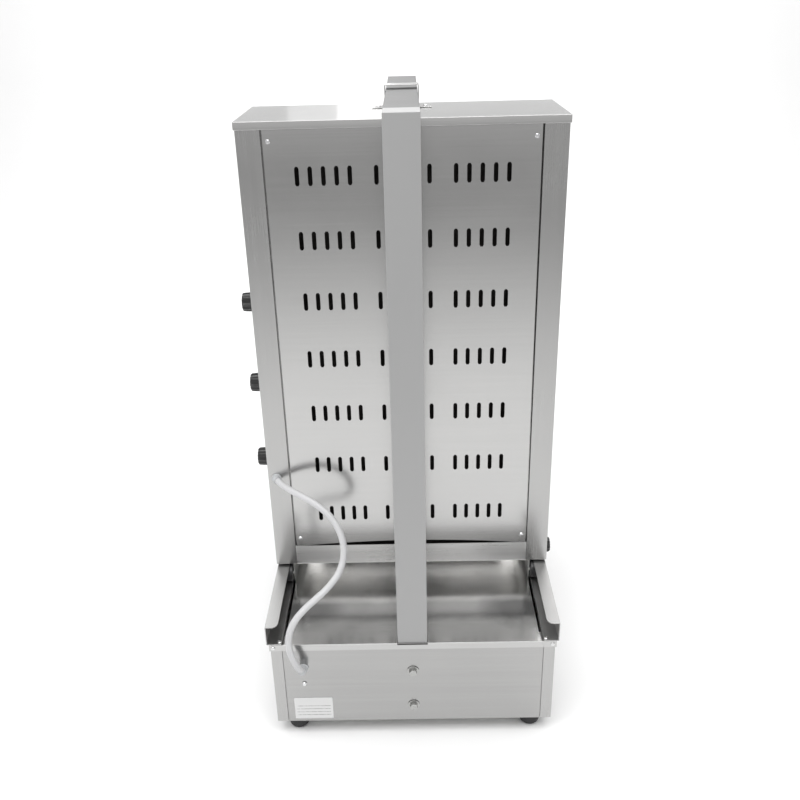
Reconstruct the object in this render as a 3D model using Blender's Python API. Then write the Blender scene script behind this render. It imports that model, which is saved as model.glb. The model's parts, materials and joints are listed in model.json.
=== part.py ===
"""Electric vertical rotisserie grill: base, sliding heater tower, column with arm, and driven spit.

Metres, +Z up. The operator stands at -Y, so the front faces -Y and the column is at the back, +Y.
"Right" is +X and "left" is -X, as the operator sees them. The origin is on the floor, at the middle
of the base. Every value below is set by itself; everything after them is worked out from them.
"""

import math

import bmesh
import bpy
from mathutils import Matrix, Vector

# Sheet, seats and clearances
GAP = 0.0003
SHEET = 0.0012
RAIL_SHEET = 0.0015
TUBE_WALL = 0.0015
SEAM = 0.0008

# Base
BODY_WIDTH = 0.4808
BODY_DEPTH = 0.646
BODY_HEIGHT = 0.171
FOOT_HEIGHT = 0.030
FOOT_RADIUS = 0.019
FOOT_INSET_X = 0.034
FOOT_INSET_Y = 0.028
CORNER_RETURN = 0.019
LIP_HEIGHT = 0.013
LIP_CLEARANCE = 0.0008

# Rails on the deck
RAIL_HEIGHT = 0.0368
RAIL_TOP_FLANGE = 0.0212
RAIL_FLOOR_FLANGE = 0.0255
RAIL_LENGTH = 0.460
RAIL_CORNER_RADIUS = 0.012

# Heater tower
TOWER_OVERHANG = 0.0076
TOWER_DEPTH = 0.190
TOWER_HEIGHT = 0.7845
TOWER_SETBACK = 0.173
TOWER_LIFT = 0.0039
POST_WIDTH = 0.0375
POST_RETURN = 0.0105
SEAT_WIDTH = 0.0155
FRONT_FLANGE = 0.022
COVER_LIP = 0.012
COVER_CLEARANCE = 0.0006
FLOOR_REAR_FLANGE = 0.0393
FLOOR_FRONT_FLANGE = 0.025
PANEL_GAP = 0.0027
PANEL_FLANGE = 0.0095
SLIDE_FORWARD = 0.050
SLIDE_BACK = 0.100

# Cooling gap under the tower's rear panel
PANEL_ARCH_RISE = 0.0085
PANEL_ARCH_INSET = 0.014

# Vent slots in the tower's rear panel
SLOT_ROWS = 7
SLOT_COLUMNS = 17
SLOT_BLANKS = (5, 11)
SLOT_LENGTH = 0.030
SLOT_WIDTH = 0.0068
SLOT_MARGIN_X = 0.0478
SLOT_MARGIN_Z = 0.0688

# Rollers and keels under the tower
KEEL_INSET = 0.0308
KEEL_SHEET = 0.002
KEEL_REACH = 0.010
KEEL_FLANGE = 0.015
DECK_SLOT_WIDTH = 0.0036
DECK_SLOT_REAR = 0.021
ROLLER_WIDTH = 0.014
ROLLER_PLAY = 0.0008
AXLE_RADIUS = 0.003
BORE_PLAY = 0.0003
REAR_ROLLER_INSET = 0.004
FRONT_ROLLER_INSET = 0.024

# Clamp knob on the left rail
CLAMP_SETBACK = 0.082
CLAMP_RADIUS = 0.0175
CLAMP_LENGTH = 0.020
CLAMP_SCREW_RADIUS = 0.003
CLAMP_SLOT_HEIGHT = 0.008

# Heating zones
ZONES = 3
KNOB_SETBACK = 0.095
KNOB_BOTTOM = 0.1755
KNOB_PITCH = 0.1502
KNOB_RADIUS = 0.020
KNOB_LENGTH = 0.031
STEM_RADIUS = 0.003
REGULATOR_SIZE = 0.042
REGULATOR_DEPTH = 0.028
REFLECTOR_SETBACK = 0.140
ELEMENT_SETBACK = 0.163
ELEMENT_RADIUS = 0.004
ELEMENT_PASSES = 4
ELEMENT_PITCH = 0.046
ELEMENT_MARGIN = 0.040
ELEMENT_LEG = 0.030
GUARD_CELLS = (9, 12)
GUARD_BAR = 0.003
GUARD_MARGIN = 0.010

# Column, arm and guide strap
COLUMN_SIZE = 0.050
COLUMN_FOOT_CLEARANCE = 0.006
ARM_HEIGHT = 0.025
ARM_CLEARANCE = 0.004
ARM_OVERRUN = 0.030
CAP_THICKNESS = 0.0025
BOLT_HEIGHTS = (0.0340, 0.1097)
BOLT_RADIUS = 0.004
WASHER_RADIUS = 0.0105
HEAD_RADIUS = 0.0070
STRAP_LENGTH = 0.030
STRAP_SETBACK = 0.120
STRAP_HEIGHT = 0.0355
STRAP_PLAY = 0.0011
STRAP_FOOT = 0.020

# Spit and drive
SPIT_REACH = 0.315
SPIT_RADIUS = 0.006
SPIT_LIFT = 0.015
PLATE_RADIUS = 0.100
PLATE_THICKNESS = 0.002
PLATE_RISE = 0.0215
HUB_RADIUS = 0.017
HUB_DROP = 0.008
HUB_RISE = 0.012
DRIVE_HEX_RADIUS = 0.006
DRIVE_RADIUS = 0.007
DRIVE_HEX_HEIGHT = 0.013
HEX_PLAY = 0.0004
BUSH_RADIUS = 0.013
BUSH_LENGTH = 0.032
BUSH_ENGAGEMENT = 0.013
BUSH_PLAY = 0.0005
BRACKET_DROP = 0.048
BRACKET_WIDTH = 0.130
BRACKET_DEPTH = 0.090
BRACKET_FOOT = 0.018
GEARBOX_SIZE = (0.092, 0.074, 0.034)
GEARBOX_BOSS_RADIUS = 0.012
MOTOR_RADIUS = 0.034
MOTOR_LENGTH = 0.058

# Drip tray
TRAY_WIDTH = 0.370
TRAY_FRONT = 0.015
TRAY_DEPTH = 0.286
TRAY_HEIGHT = 0.018
TRAY_SHEET = 0.001
TRAY_COLLAR_RADIUS = 0.022
TRAY_COLLAR_HEIGHT = 0.009

# Motor switch on the front
SWITCH_INSET = 0.0804
SWITCH_HEIGHT = 0.085
SWITCH_BEZEL = (0.030, 0.026)
SWITCH_BODY = (0.026, 0.0225)
SWITCH_POCKET = (0.0200, 0.0205)
SWITCH_BEZEL_DEPTH = 0.003
SWITCH_BODY_DEPTH = 0.022
SWITCH_POCKET_DEPTH = 0.009
SWITCH_PIVOT_DEPTH = 0.003
ROCKER_PLAY = 0.0006
ROCKER_TILT = 8.0

# Conduit from the tower to the base, and small fittings
CONDUIT_RADIUS = 0.0058
CONDUIT_STEP = 0.020
TOWER_GLAND_INSET = 0.0145
TOWER_GLAND_Z = 0.4245
BASE_GROMMET_INSET = 0.0532
BASE_GROMMET_Z = 0.1500
EARTH_SCREW_INSET = 0.0526
EARTH_SCREW_Z = 0.1152
SPIGOT_RADIUS = 0.0070
MAINS_GLAND = (0.150, 0.230)
# Each point's distance in from the tower's right side, then its y and z
CONDUIT_ROUTE = (
    (0.0177, 0.1590, 0.4240),
    (0.0316, 0.1767, 0.4226),
    (0.0482, 0.1922, 0.4213),
    (0.0665, 0.2056, 0.4186),
    (0.0853, 0.2172, 0.4130),
    (0.1034, 0.2272, 0.4037),
    (0.1187, 0.2363, 0.3899),
    (0.1295, 0.2453, 0.3724),
    (0.1351, 0.2550, 0.3528),
    (0.1347, 0.2657, 0.3329),
    (0.1276, 0.2778, 0.3153),
    (0.1197, 0.2863, 0.3055),
    (0.1049, 0.2992, 0.2938),
    (0.0882, 0.3115, 0.2841),
    (0.0712, 0.3230, 0.2738),
    (0.0562, 0.3333, 0.2601),
    (0.0462, 0.3415, 0.2418),
    (0.0434, 0.3468, 0.2203),
    (0.0466, 0.3487, 0.1985),
    (0.0524, 0.3465, 0.1775),
    (0.0590, 0.3402, 0.1590),
)

# Worked out from the values above
HALF_BODY = BODY_WIDTH / 2
REAR_Y = BODY_DEPTH / 2
BODY_Z = FOOT_HEIGHT
DECK_Z = BODY_Z + BODY_HEIGHT
DECK_UNDER = DECK_Z - SHEET
LIP_OUT = LIP_CLEARANCE + SHEET
RETURN_X = HALF_BODY - CORNER_RETURN
RAIL_Z = DECK_Z + GAP
RAIL_TOP = RAIL_Z + RAIL_HEIGHT
RAIL_REAR = REAR_Y + LIP_OUT
TOWER_Z = RAIL_TOP + TOWER_LIFT
TOWER_TOP = TOWER_Z + TOWER_HEIGHT
TOWER_HALF = HALF_BODY + TOWER_OVERHANG
RAIL_OUT = TOWER_HALF - RAIL_SHEET - GAP
TOWER_REAR = REAR_Y - TOWER_SETBACK
TOWER_FRONT = TOWER_REAR - TOWER_DEPTH
COVER_UNDER = TOWER_TOP - SHEET
POST_IN = TOWER_HALF - POST_WIDTH
SEAT_Y = TOWER_REAR - POST_RETURN
PANEL_HALF = POST_IN - PANEL_GAP
PANEL_Z = TOWER_Z + FLOOR_REAR_FLANGE + GAP
PANEL_TOP = TOWER_TOP - COVER_LIP - GAP
KEEL_X = TOWER_HALF - KEEL_INSET
RAIL_FLOOR = RAIL_Z + RAIL_SHEET
ROLLER_RADIUS = (RAIL_HEIGHT - 2 * RAIL_SHEET - ROLLER_PLAY) / 2
AXLE_Z = RAIL_FLOOR + GAP + ROLLER_RADIUS
ROLLER_IN = KEEL_X + KEEL_SHEET / 2 + ROLLER_PLAY
ROLLER_YS = {"rear": TOWER_REAR - REAR_ROLLER_INSET, "front": TOWER_FRONT + FRONT_ROLLER_INSET}
CLAMP_Y = TOWER_REAR - CLAMP_SETBACK
KNOB_Y = TOWER_REAR - KNOB_SETBACK
KNOB_ZS = [TOWER_Z + KNOB_BOTTOM + KNOB_PITCH * zone for zone in range(ZONES)]
COLUMN_REAR = REAR_Y - SHEET - GAP
COLUMN_FRONT = COLUMN_REAR - COLUMN_SIZE
ARM_Z = TOWER_TOP + ARM_CLEARANCE
ARM_TOP = ARM_Z + ARM_HEIGHT
SPIT_Y = TOWER_REAR - SPIT_REACH
ARM_FRONT = SPIT_Y - ARM_OVERRUN
PLATE_Z = DECK_Z + PLATE_RISE
HUB_Z = PLATE_Z - HUB_DROP
HUB_TOP = PLATE_Z + PLATE_THICKNESS + HUB_RISE
BUSH_TOP = ARM_Z - GAP
BUSH_Z = BUSH_TOP - BUSH_LENGTH
TOWER_GLAND = (TOWER_HALF - TOWER_GLAND_INSET, TOWER_GLAND_Z)
BASE_GROMMET = (HALF_BODY - BASE_GROMMET_INSET, BASE_GROMMET_Z)
EARTH_SCREW = (HALF_BODY - EARTH_SCREW_INSET, EARTH_SCREW_Z)
SWITCH_X = HALF_BODY - SWITCH_INSET
CONDUIT_POINTS = [Vector((TOWER_HALF - inset, y, z)) for inset, y, z in CONDUIT_ROUTE]
BRACKET_Z = DECK_UNDER - GAP - BRACKET_DROP
GEARBOX_TOP = BRACKET_Z - GAP
BOSS_TOP = BRACKET_Z + TUBE_WALL + 0.002


def clear_scene():
    """Remove every object that the file opens with."""
    for item in list(bpy.data.objects):
        bpy.data.objects.remove(item, do_unlink=True)


def finish_material(name, colour, roughness, metallic=0.0):
    """Return a Principled material with one colour, roughness and metallic value."""
    material = bpy.data.materials.new(name)
    material.use_nodes = True
    shader = material.node_tree.nodes["Principled BSDF"]
    shader.inputs["Base Color"].default_value = (*colour, 1.0)
    shader.inputs["Roughness"].default_value = roughness
    shader.inputs["Metallic"].default_value = metallic
    return material


FINISHES = {
    "brushed": ((0.62, 0.62, 0.63), 0.34, 1.0),
    "bright": ((0.75, 0.75, 0.76), 0.18, 1.0),
    "zinc": ((0.66, 0.66, 0.64), 0.40, 1.0),
    "dark_steel": ((0.16, 0.16, 0.17), 0.55, 1.0),
    "element": ((0.12, 0.11, 0.10), 0.60, 1.0),
    "black_plastic": ((0.02, 0.02, 0.02), 0.35, 0.0),
    "black_rubber": ((0.03, 0.03, 0.03), 0.80, 0.0),
    "grey_plastic": ((0.55, 0.56, 0.57), 0.45, 0.0),
    "red_plastic": ((0.55, 0.02, 0.02), 0.30, 0.0),
}


def place(name, mesh, finish):
    """Link a mesh into the scene as a named object with its own material."""
    item = bpy.data.objects.new(name, mesh)
    bpy.context.scene.collection.objects.link(item)
    mesh.materials.append(finish_material(name, *FINISHES[finish]))
    return item


def from_bmesh(name, bm, finish):
    """Turn a bmesh into a named object whose faces point out."""
    bmesh.ops.recalc_face_normals(bm, faces=bm.faces)
    mesh = bpy.data.meshes.new(name)
    bm.to_mesh(mesh)
    bm.free()
    return place(name, mesh, finish)


def smooth(item, degrees=35.0):
    """Shade a round piece smooth up to its sharp edges."""
    item.data.shade_smooth()
    item.data.set_sharp_from_angle(angle=math.radians(degrees))
    return item


def box(name, low, high, finish):
    """Build a box between two corners."""
    bm = bmesh.new()
    bmesh.ops.create_cube(bm, size=1.0)
    size = [b - a for a, b in zip(low, high)]
    middle = [(a + b) / 2 for a, b in zip(low, high)]
    bmesh.ops.scale(bm, vec=size, verts=bm.verts)
    bmesh.ops.translate(bm, vec=middle, verts=bm.verts)
    return from_bmesh(name, bm, finish)


def prism(name, outline, axis, low, high, finish):
    """Extrude a closed outline from low to high along an axis.

    The outline's two numbers are (y, z) for axis X, (x, z) for axis Y and (x, y) for axis Z.
    """
    lift = {
        "X": lambda a, b, c: (c, a, b),
        "Y": lambda a, b, c: (a, c, b),
        "Z": lambda a, b, c: (a, b, c),
    }[axis]
    bm = bmesh.new()
    face = bm.faces.new([bm.verts.new(lift(a, b, low)) for a, b in outline])
    extruded = bmesh.ops.extrude_face_region(bm, geom=[face])
    moved = [part for part in extruded["geom"] if isinstance(part, bmesh.types.BMVert)]
    bmesh.ops.translate(bm, vec=lift(0.0, 0.0, high - low), verts=moved)
    return from_bmesh(name, bm, finish)


def sheet_outline(path, thickness):
    """Give the closed outline of a folded sheet from the path of its outer face.

    The thickness goes to the left of the path, or to the right of it when negative.
    """
    points = [Vector(point) for point in path]
    normals = []
    for start, end in zip(points, points[1:]):
        run = (end - start).normalized()
        normals.append(Vector((-run.y, run.x)))
    inner = []
    for index, point in enumerate(points):
        before = normals[max(index - 1, 0)]
        after = normals[min(index, len(normals) - 1)]
        mitre = (before + after) / (1.0 + before.dot(after))
        inner.append(point + mitre * thickness)
    return [tuple(point) for point in points + inner[::-1]]


def stadium(length, width, steps=3):
    """Give a slot's outline, centred, with its length along the second number."""
    radius = width / 2
    straight = (length - width) / 2
    outline = []
    for end, start_angle in ((straight, 0.0), (-straight, math.pi)):
        for step in range(steps + 1):
            angle = start_angle + math.pi * step / steps
            outline.append((radius * math.cos(angle), end + radius * math.sin(angle)))
    return outline


def turned(name, profile, axis, centre, finish, closed=False, segments=28):
    """Turn a profile of (radius, height) points about an axis through centre."""
    bm = bmesh.new()
    verts = [bm.verts.new((radius, 0.0, height)) for radius, height in profile]
    edges = [bm.edges.new(pair) for pair in zip(verts, verts[1:])]
    if closed:
        edges.append(bm.edges.new((verts[-1], verts[0])))
    bmesh.ops.spin(
        bm, geom=verts + edges, cent=(0, 0, 0), axis=(0, 0, 1),
        angle=math.tau, steps=segments, use_merge=True,
    )
    bmesh.ops.remove_doubles(bm, verts=bm.verts, dist=0.00001)
    turn = {
        "+X": Matrix.Rotation(math.pi / 2, 4, "Y"),
        "-X": Matrix.Rotation(-math.pi / 2, 4, "Y"),
        "+Y": Matrix.Rotation(-math.pi / 2, 4, "X"),
        "-Y": Matrix.Rotation(math.pi / 2, 4, "X"),
        "+Z": Matrix.Identity(4),
    }[axis]
    bmesh.ops.transform(bm, matrix=turn, verts=bm.verts)
    item = from_bmesh(name, bm, finish)
    item.location = centre
    return smooth(item)


def hidden(item):
    """Mark an object as a construction piece that is not part of the model."""
    item.hide_render = True
    item.display_type = "WIRE"
    return item


def combine(target, other, operation):
    """Cut a piece from the target, or join it on, and hide the other piece."""
    modifier = target.modifiers.new(operation.lower(), "BOOLEAN")
    modifier.operation = operation
    modifier.solver = "EXACT"
    modifier.object = hidden(other)
    return target


def cut(target, cutter):
    """Cut a shape out of the target."""
    return combine(target, cutter, "DIFFERENCE")


def join(target, other):
    """Fuse another shape onto the target."""
    return combine(target, other, "UNION")


def drill(target, name, axis, centre, radius, length, segments=16):
    """Drill a round hole whose length is centred on a point."""
    profile = [(0, -length / 2), (radius, -length / 2), (radius, length / 2), (0, length / 2)]
    return cut(target, turned(name, profile, axis, centre, "zinc", segments=segments))


def tray(name, low, high, wall, open_side, finish):
    """Build a box of sheet that is open on one side, such as "-Z"."""
    item = box(name, low, high, finish)
    inner_low = [value + wall for value in low]
    inner_high = [value - wall for value in high]
    side = "XYZ".index(open_side[1])
    if open_side[0] == "-":
        inner_low[side] = low[side] - wall
    else:
        inner_high[side] = high[side] + wall
    return cut(item, box(name + "_hollow", inner_low, inner_high, finish))


def tube_along(name, points, radius, finish, resolution):
    """Build a round tube with filled ends along a list of points."""
    curve = bpy.data.curves.new(name, "CURVE")
    curve.dimensions = "3D"
    curve.bevel_depth = radius
    curve.bevel_resolution = resolution
    curve.use_fill_caps = True
    spline = curve.splines.new("POLY")
    spline.points.add(len(points) - 1)
    for slot, point in zip(spline.points, points):
        slot.co = (*point, 1.0)
    spline.use_smooth = True
    item = bpy.data.objects.new(name, curve)
    bpy.context.scene.collection.objects.link(item)
    curve.materials.append(finish_material(name, *FINISHES[finish]))
    return item


def solid_tube(name, points, radius, finish, resolution):
    """Build a round tube along a list of points as a closed mesh, ready to be fused."""
    swept = tube_along(name + "_sweep", points, radius, finish, resolution)
    bm = bmesh.new()
    bm.from_mesh(bpy.data.meshes.new_from_object(swept))
    bpy.data.objects.remove(swept)
    bmesh.ops.remove_doubles(bm, verts=bm.verts, dist=0.00001)
    bmesh.ops.recalc_face_normals(bm, faces=bm.faces)
    return from_bmesh(name, bm, finish)


def smooth_route(route, step):
    """Read points about one step apart from a smooth curve through a route's points."""
    points = [Vector(point) for point in route]
    padded = [2 * points[0] - points[1], *points, 2 * points[-1] - points[-2]]
    dense = [points[0]]
    for before, start, end, after in zip(padded, padded[1:], padded[2:], padded[3:]):
        for part in range(1, 9):
            t = part / 8
            dense.append(0.5 * (
                2 * start + (end - before) * t
                + (2 * before - 5 * start + 4 * end - after) * t ** 2
                + (3 * start - before - 3 * end + after) * t ** 3
            ))
    lengths = [0.0]
    for start, end in zip(dense, dense[1:]):
        lengths.append(lengths[-1] + (end - start).length)
    count = max(2, round(lengths[-1] / step))
    picked = [dense[0]]
    index = 0
    for number in range(1, count):
        wanted = lengths[-1] * number / count
        while lengths[index + 1] < wanted:
            index += 1
        share = (wanted - lengths[index]) / (lengths[index + 1] - lengths[index])
        picked.append(dense[index].lerp(dense[index + 1], share))
    return [*picked, dense[-1]]


def side_name(side):
    """Name the operator's side for +1 or -1."""
    return "right" if side > 0 else "left"


# Base ---------------------------------------------------------------------------------------

def build_base_shell():
    """Fold the front and both sides of the base, with returns round the rear corners."""
    path = [
        (RETURN_X, REAR_Y), (HALF_BODY, REAR_Y), (HALF_BODY, -REAR_Y),
        (-HALF_BODY, -REAR_Y), (-HALF_BODY, REAR_Y), (-RETURN_X, REAR_Y),
    ]
    outline = sheet_outline(path, -SHEET)
    shell = prism("base_shell", outline, "Z", BODY_Z, DECK_UNDER - GAP, "brushed")
    half_x, half_z = (size / 2 + GAP for size in SWITCH_BODY)
    low = (SWITCH_X - half_x, -REAR_Y - SHEET, SWITCH_HEIGHT + BODY_Z - half_z)
    high = (SWITCH_X + half_x, -REAR_Y + 2 * SHEET, SWITCH_HEIGHT + BODY_Z + half_z)
    return cut(shell, box("switch_cutout", low, high, "zinc"))


def build_base_rear_panel():
    """Build the rear panel between the corner returns, with its bolt and cable holes."""
    half = RETURN_X - SEAM
    low = (-half, REAR_Y - SHEET, BODY_Z)
    high = (half, REAR_Y, DECK_UNDER - GAP)
    panel = box("base_rear_panel", low, high, "brushed")
    for number, height in enumerate(BOLT_HEIGHTS):
        centre = (0, REAR_Y, BODY_Z + height)
        drill(panel, f"rear_bolt_hole_{number}", "+Y", centre, BOLT_RADIUS + GAP, 4 * SHEET)
    x, z = BASE_GROMMET
    radius = SPIGOT_RADIUS - 0.001 + GAP
    drill(panel, "grommet_hole", "+Y", (x, REAR_Y, z), radius, 4 * SHEET, 20)
    x, z = EARTH_SCREW
    drill(panel, "earth_hole", "+Y", (x, REAR_Y, z), 0.002 + GAP, 4 * SHEET)
    return panel


def build_base_bottom_plate():
    """Build the bottom plate with cooling slots under the motor and the mains gland's hole."""
    half_x = HALF_BODY - SHEET - GAP
    half_y = REAR_Y - SHEET - GAP
    low = (-half_x, -half_y, BODY_Z)
    plate = box("base_bottom_plate", low, (half_x, half_y, BODY_Z + SHEET), "zinc")
    for number in range(6):
        x = (number - 2.5) * 0.018
        outline = [(x + a, SPIT_Y + b) for a, b in stadium(0.060, 0.006)]
        low_z, high_z = BODY_Z - SHEET, BODY_Z + 2 * SHEET
        cut(plate, prism(f"cooling_slot_{number}", outline, "Z", low_z, high_z, "zinc"))
    x, y = MAINS_GLAND
    return drill(plate, "mains_hole", "+Z", (x, y, BODY_Z), 0.0075 + GAP, 4 * SHEET)


def build_feet():
    """Turn four domed rubber feet."""
    top = FOOT_HEIGHT - GAP
    profile = [
        (0, 0), (FOOT_RADIUS - 0.0075, 0), (FOOT_RADIUS - 0.0045, 0.0012),
        (FOOT_RADIUS - 0.0022, 0.0042), (FOOT_RADIUS - 0.0008, 0.0090),
        (FOOT_RADIUS, 0.0150), (FOOT_RADIUS, top), (0, top),
    ]
    for side in (1, -1):
        for end, row in ((-1, "front"), (1, "rear")):
            centre = (side * (HALF_BODY - FOOT_INSET_X), end * (REAR_Y - FOOT_INSET_Y), 0)
            turned(f"foot_{row}_{side_name(side)}", profile, "+Z", centre, "black_rubber")


def build_deck_plate():
    """Build the deck with its down-turned lip, keel slots, shaft hole and notch for the column."""
    out = LIP_OUT
    low = (-HALF_BODY - out, -REAR_Y - out, DECK_Z - LIP_HEIGHT)
    high = (HALF_BODY + out, REAR_Y + out, DECK_Z)
    deck = tray("deck_plate", low, high, SHEET, "-Z", "brushed")
    slot_rear = REAR_Y - DECK_SLOT_REAR
    slot_front = TOWER_FRONT - SLIDE_FORWARD - 0.003
    length, middle = slot_rear - slot_front, (slot_rear + slot_front) / 2
    low_z, high_z = DECK_Z - 3 * SHEET, DECK_Z + SHEET
    for side in (1, -1):
        outline = [(side * KEEL_X + a, middle + b) for a, b in stadium(length, DECK_SLOT_WIDTH)]
        name = f"keel_slot_{side_name(side)}"
        cut(deck, prism(name, outline, "Z", low_z, high_z, "zinc"))
    drill(deck, "shaft_hole", "+Z", (0, SPIT_Y, DECK_Z), DRIVE_RADIUS + 0.006, 4 * SHEET, 24)
    half = COLUMN_SIZE / 2 + 0.0005
    low = (-half, COLUMN_FRONT - 0.0005, low_z)
    high = (half, REAR_Y + 2 * out, high_z)
    return cut(deck, box("column_notch", low, high, "zinc"))


def build_rail(side):
    """Build one C-section rail, rounded at the rear corner of its top flange."""
    path = [
        (side * (RAIL_OUT - RAIL_FLOOR_FLANGE), RAIL_Z), (side * RAIL_OUT, RAIL_Z),
        (side * RAIL_OUT, RAIL_TOP), (side * (RAIL_OUT - RAIL_TOP_FLANGE), RAIL_TOP),
    ]
    name = f"rail_{side_name(side)}"
    outline = sheet_outline(path, side * RAIL_SHEET)
    front = RAIL_REAR - RAIL_LENGTH
    rail = prism(name, outline, "Y", front, RAIL_REAR, "brushed")
    bm = bmesh.new()
    bm.from_mesh(rail.data)
    tip = side * (RAIL_OUT - RAIL_TOP_FLANGE)
    corner = [
        edge for edge in bm.edges
        if all(abs(v.co.x - tip) < GAP and abs(v.co.y - RAIL_REAR) < GAP for v in edge.verts)
        and abs(edge.verts[0].co.z - edge.verts[1].co.z) > GAP
    ]
    bmesh.ops.bevel(
        bm, geom=corner, offset=RAIL_CORNER_RADIUS, offset_type="OFFSET", segments=5,
        profile=0.5, affect="EDGES", material=-1,
    )
    bm.to_mesh(rail.data)
    bm.free()
    if side < 0:
        cut(rail, clamp_slot())
    return rail


def clamp_slot():
    """Give the cutter of the slot that the clamp knob's screw travels in."""
    length = SLIDE_FORWARD + SLIDE_BACK + 2 * CLAMP_SLOT_HEIGHT
    middle = CLAMP_Y + (SLIDE_BACK - SLIDE_FORWARD) / 2
    outline = [(middle + b, AXLE_Z + a) for a, b in stadium(length, CLAMP_SLOT_HEIGHT, 4)]
    low = -RAIL_OUT - RAIL_SHEET
    return prism("clamp_slot", outline, "X", low, -RAIL_OUT + 2 * RAIL_SHEET, "zinc")


# Column and arm -----------------------------------------------------------------------------

def build_column():
    """Build the square column, closed at the top and bolted to the rear panel at its foot."""
    half = COLUMN_SIZE / 2
    low = (-half, COLUMN_FRONT, BODY_Z + COLUMN_FOOT_CLEARANCE)
    column = tray("column", low, (half, COLUMN_REAR, ARM_TOP), TUBE_WALL, "-Z", "brushed")
    for number, height in enumerate(BOLT_HEIGHTS):
        centre = (0, COLUMN_REAR, BODY_Z + height)
        drill(column, f"column_bolt_hole_{number}", "+Y", centre, BOLT_RADIUS + GAP, 4 * TUBE_WALL)
    return column


def build_column_bolts():
    """Build each column bolt with its washer outside and its nut inside the column."""
    washer = GAP + 0.0016
    head = washer + 0.0055
    inside = -(SHEET + GAP + TUBE_WALL + GAP)
    profile = [
        (0, inside - 0.009), (BOLT_RADIUS, inside - 0.009), (BOLT_RADIUS, inside - 0.0065),
        (HEAD_RADIUS, inside - 0.0065), (HEAD_RADIUS, inside), (BOLT_RADIUS, inside),
        (BOLT_RADIUS, GAP), (WASHER_RADIUS, GAP), (WASHER_RADIUS, washer),
        (HEAD_RADIUS, washer), (HEAD_RADIUS, head - 0.0008), (HEAD_RADIUS - 0.0008, head), (0, head),
    ]
    for name, height in zip(("lower", "upper"), BOLT_HEIGHTS):
        centre = (0, REAR_Y, BODY_Z + height)
        turned(f"column_bolt_{name}", profile, "+Y", centre, "bright", segments=12)


def build_top_arm():
    """Build the arm's tube from the column's front face to just past the spit."""
    half = COLUMN_SIZE / 2
    outer = [(-half, ARM_Z), (half, ARM_Z), (half, ARM_TOP), (-half, ARM_TOP)]
    front, rear = ARM_FRONT, COLUMN_FRONT - GAP
    arm = prism("top_arm", outer, "Y", front, rear, "brushed")
    low = (-half + TUBE_WALL, front - TUBE_WALL, ARM_Z + TUBE_WALL)
    high = (half - TUBE_WALL, rear + TUBE_WALL, ARM_TOP - TUBE_WALL)
    return cut(arm, box("arm_hollow", low, high, "zinc"))


def build_arm_end_cap():
    """Build the plug that closes the arm's front end."""
    half = COLUMN_SIZE / 2
    front = ARM_FRONT - GAP
    low = (-half, front - CAP_THICKNESS, ARM_Z)
    cap = box("arm_end_cap", low, (half, front, ARM_TOP), "black_plastic")
    inset = TUBE_WALL + GAP
    low = (-half + inset, front - CAP_THICKNESS / 2, ARM_Z + inset)
    high = (half - inset, front + 0.010, ARM_TOP - inset)
    return join(cap, box("arm_plug", low, high, "black_plastic"))


def build_top_bush():
    """Turn the bush under the arm that holds the spit's upper end."""
    bore = SPIT_RADIUS + BUSH_PLAY
    profile = [
        (bore, 0), (BUSH_RADIUS - 0.001, 0), (BUSH_RADIUS, 0.001),
        (BUSH_RADIUS, BUSH_LENGTH), (bore, BUSH_LENGTH),
    ]
    centre = (0, SPIT_Y, BUSH_Z)
    return turned("top_bush", profile, "+Z", centre, "bright", closed=True)


# Spit and drive -----------------------------------------------------------------------------

def build_motor_bracket():
    """Fold the bracket that hangs the gear motor under the deck."""
    half = BRACKET_WIDTH / 2
    foot, low = DECK_UNDER - GAP - TUBE_WALL, BRACKET_Z
    path = [
        (-half - BRACKET_FOOT, foot), (-half, foot), (-half, low),
        (half, low), (half, foot), (half + BRACKET_FOOT, foot),
    ]
    rear, front = SPIT_Y + BRACKET_DEPTH / 2, SPIT_Y - BRACKET_DEPTH / 2
    outline = sheet_outline(path, TUBE_WALL)
    bracket = prism("motor_bracket", outline, "Y", front, rear, "zinc")
    centre = (0, SPIT_Y, low)
    return drill(bracket, "boss_hole", "+Z", centre, GEARBOX_BOSS_RADIUS + 0.001, 0.02, 24)


def build_gearbox():
    """Build the gearbox with its round boss through the bracket."""
    half_x, half_y = GEARBOX_SIZE[0] / 2, GEARBOX_SIZE[1] / 2
    low = (-half_x, SPIT_Y - half_y, GEARBOX_TOP - GEARBOX_SIZE[2])
    gearbox = box("gearbox", low, (half_x, SPIT_Y + half_y, GEARBOX_TOP), "grey_plastic")
    rise = BOSS_TOP - GEARBOX_TOP
    profile = [
        (0, -0.004), (GEARBOX_BOSS_RADIUS, -0.004), (GEARBOX_BOSS_RADIUS, rise), (0, rise),
    ]
    centre = (0, SPIT_Y, GEARBOX_TOP)
    return join(gearbox, turned("gearbox_boss", profile, "+Z", centre, "zinc", segments=24))


def build_drive_motor():
    """Turn the motor can under the gearbox."""
    top = GEARBOX_TOP - GEARBOX_SIZE[2] - GAP
    profile = [
        (0, -MOTOR_LENGTH), (MOTOR_RADIUS - 0.004, -MOTOR_LENGTH),
        (MOTOR_RADIUS, -MOTOR_LENGTH + 0.004), (MOTOR_RADIUS, 0), (0, 0),
    ]
    return turned("drive_motor", profile, "+Z", (0, SPIT_Y, top), "dark_steel")


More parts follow.
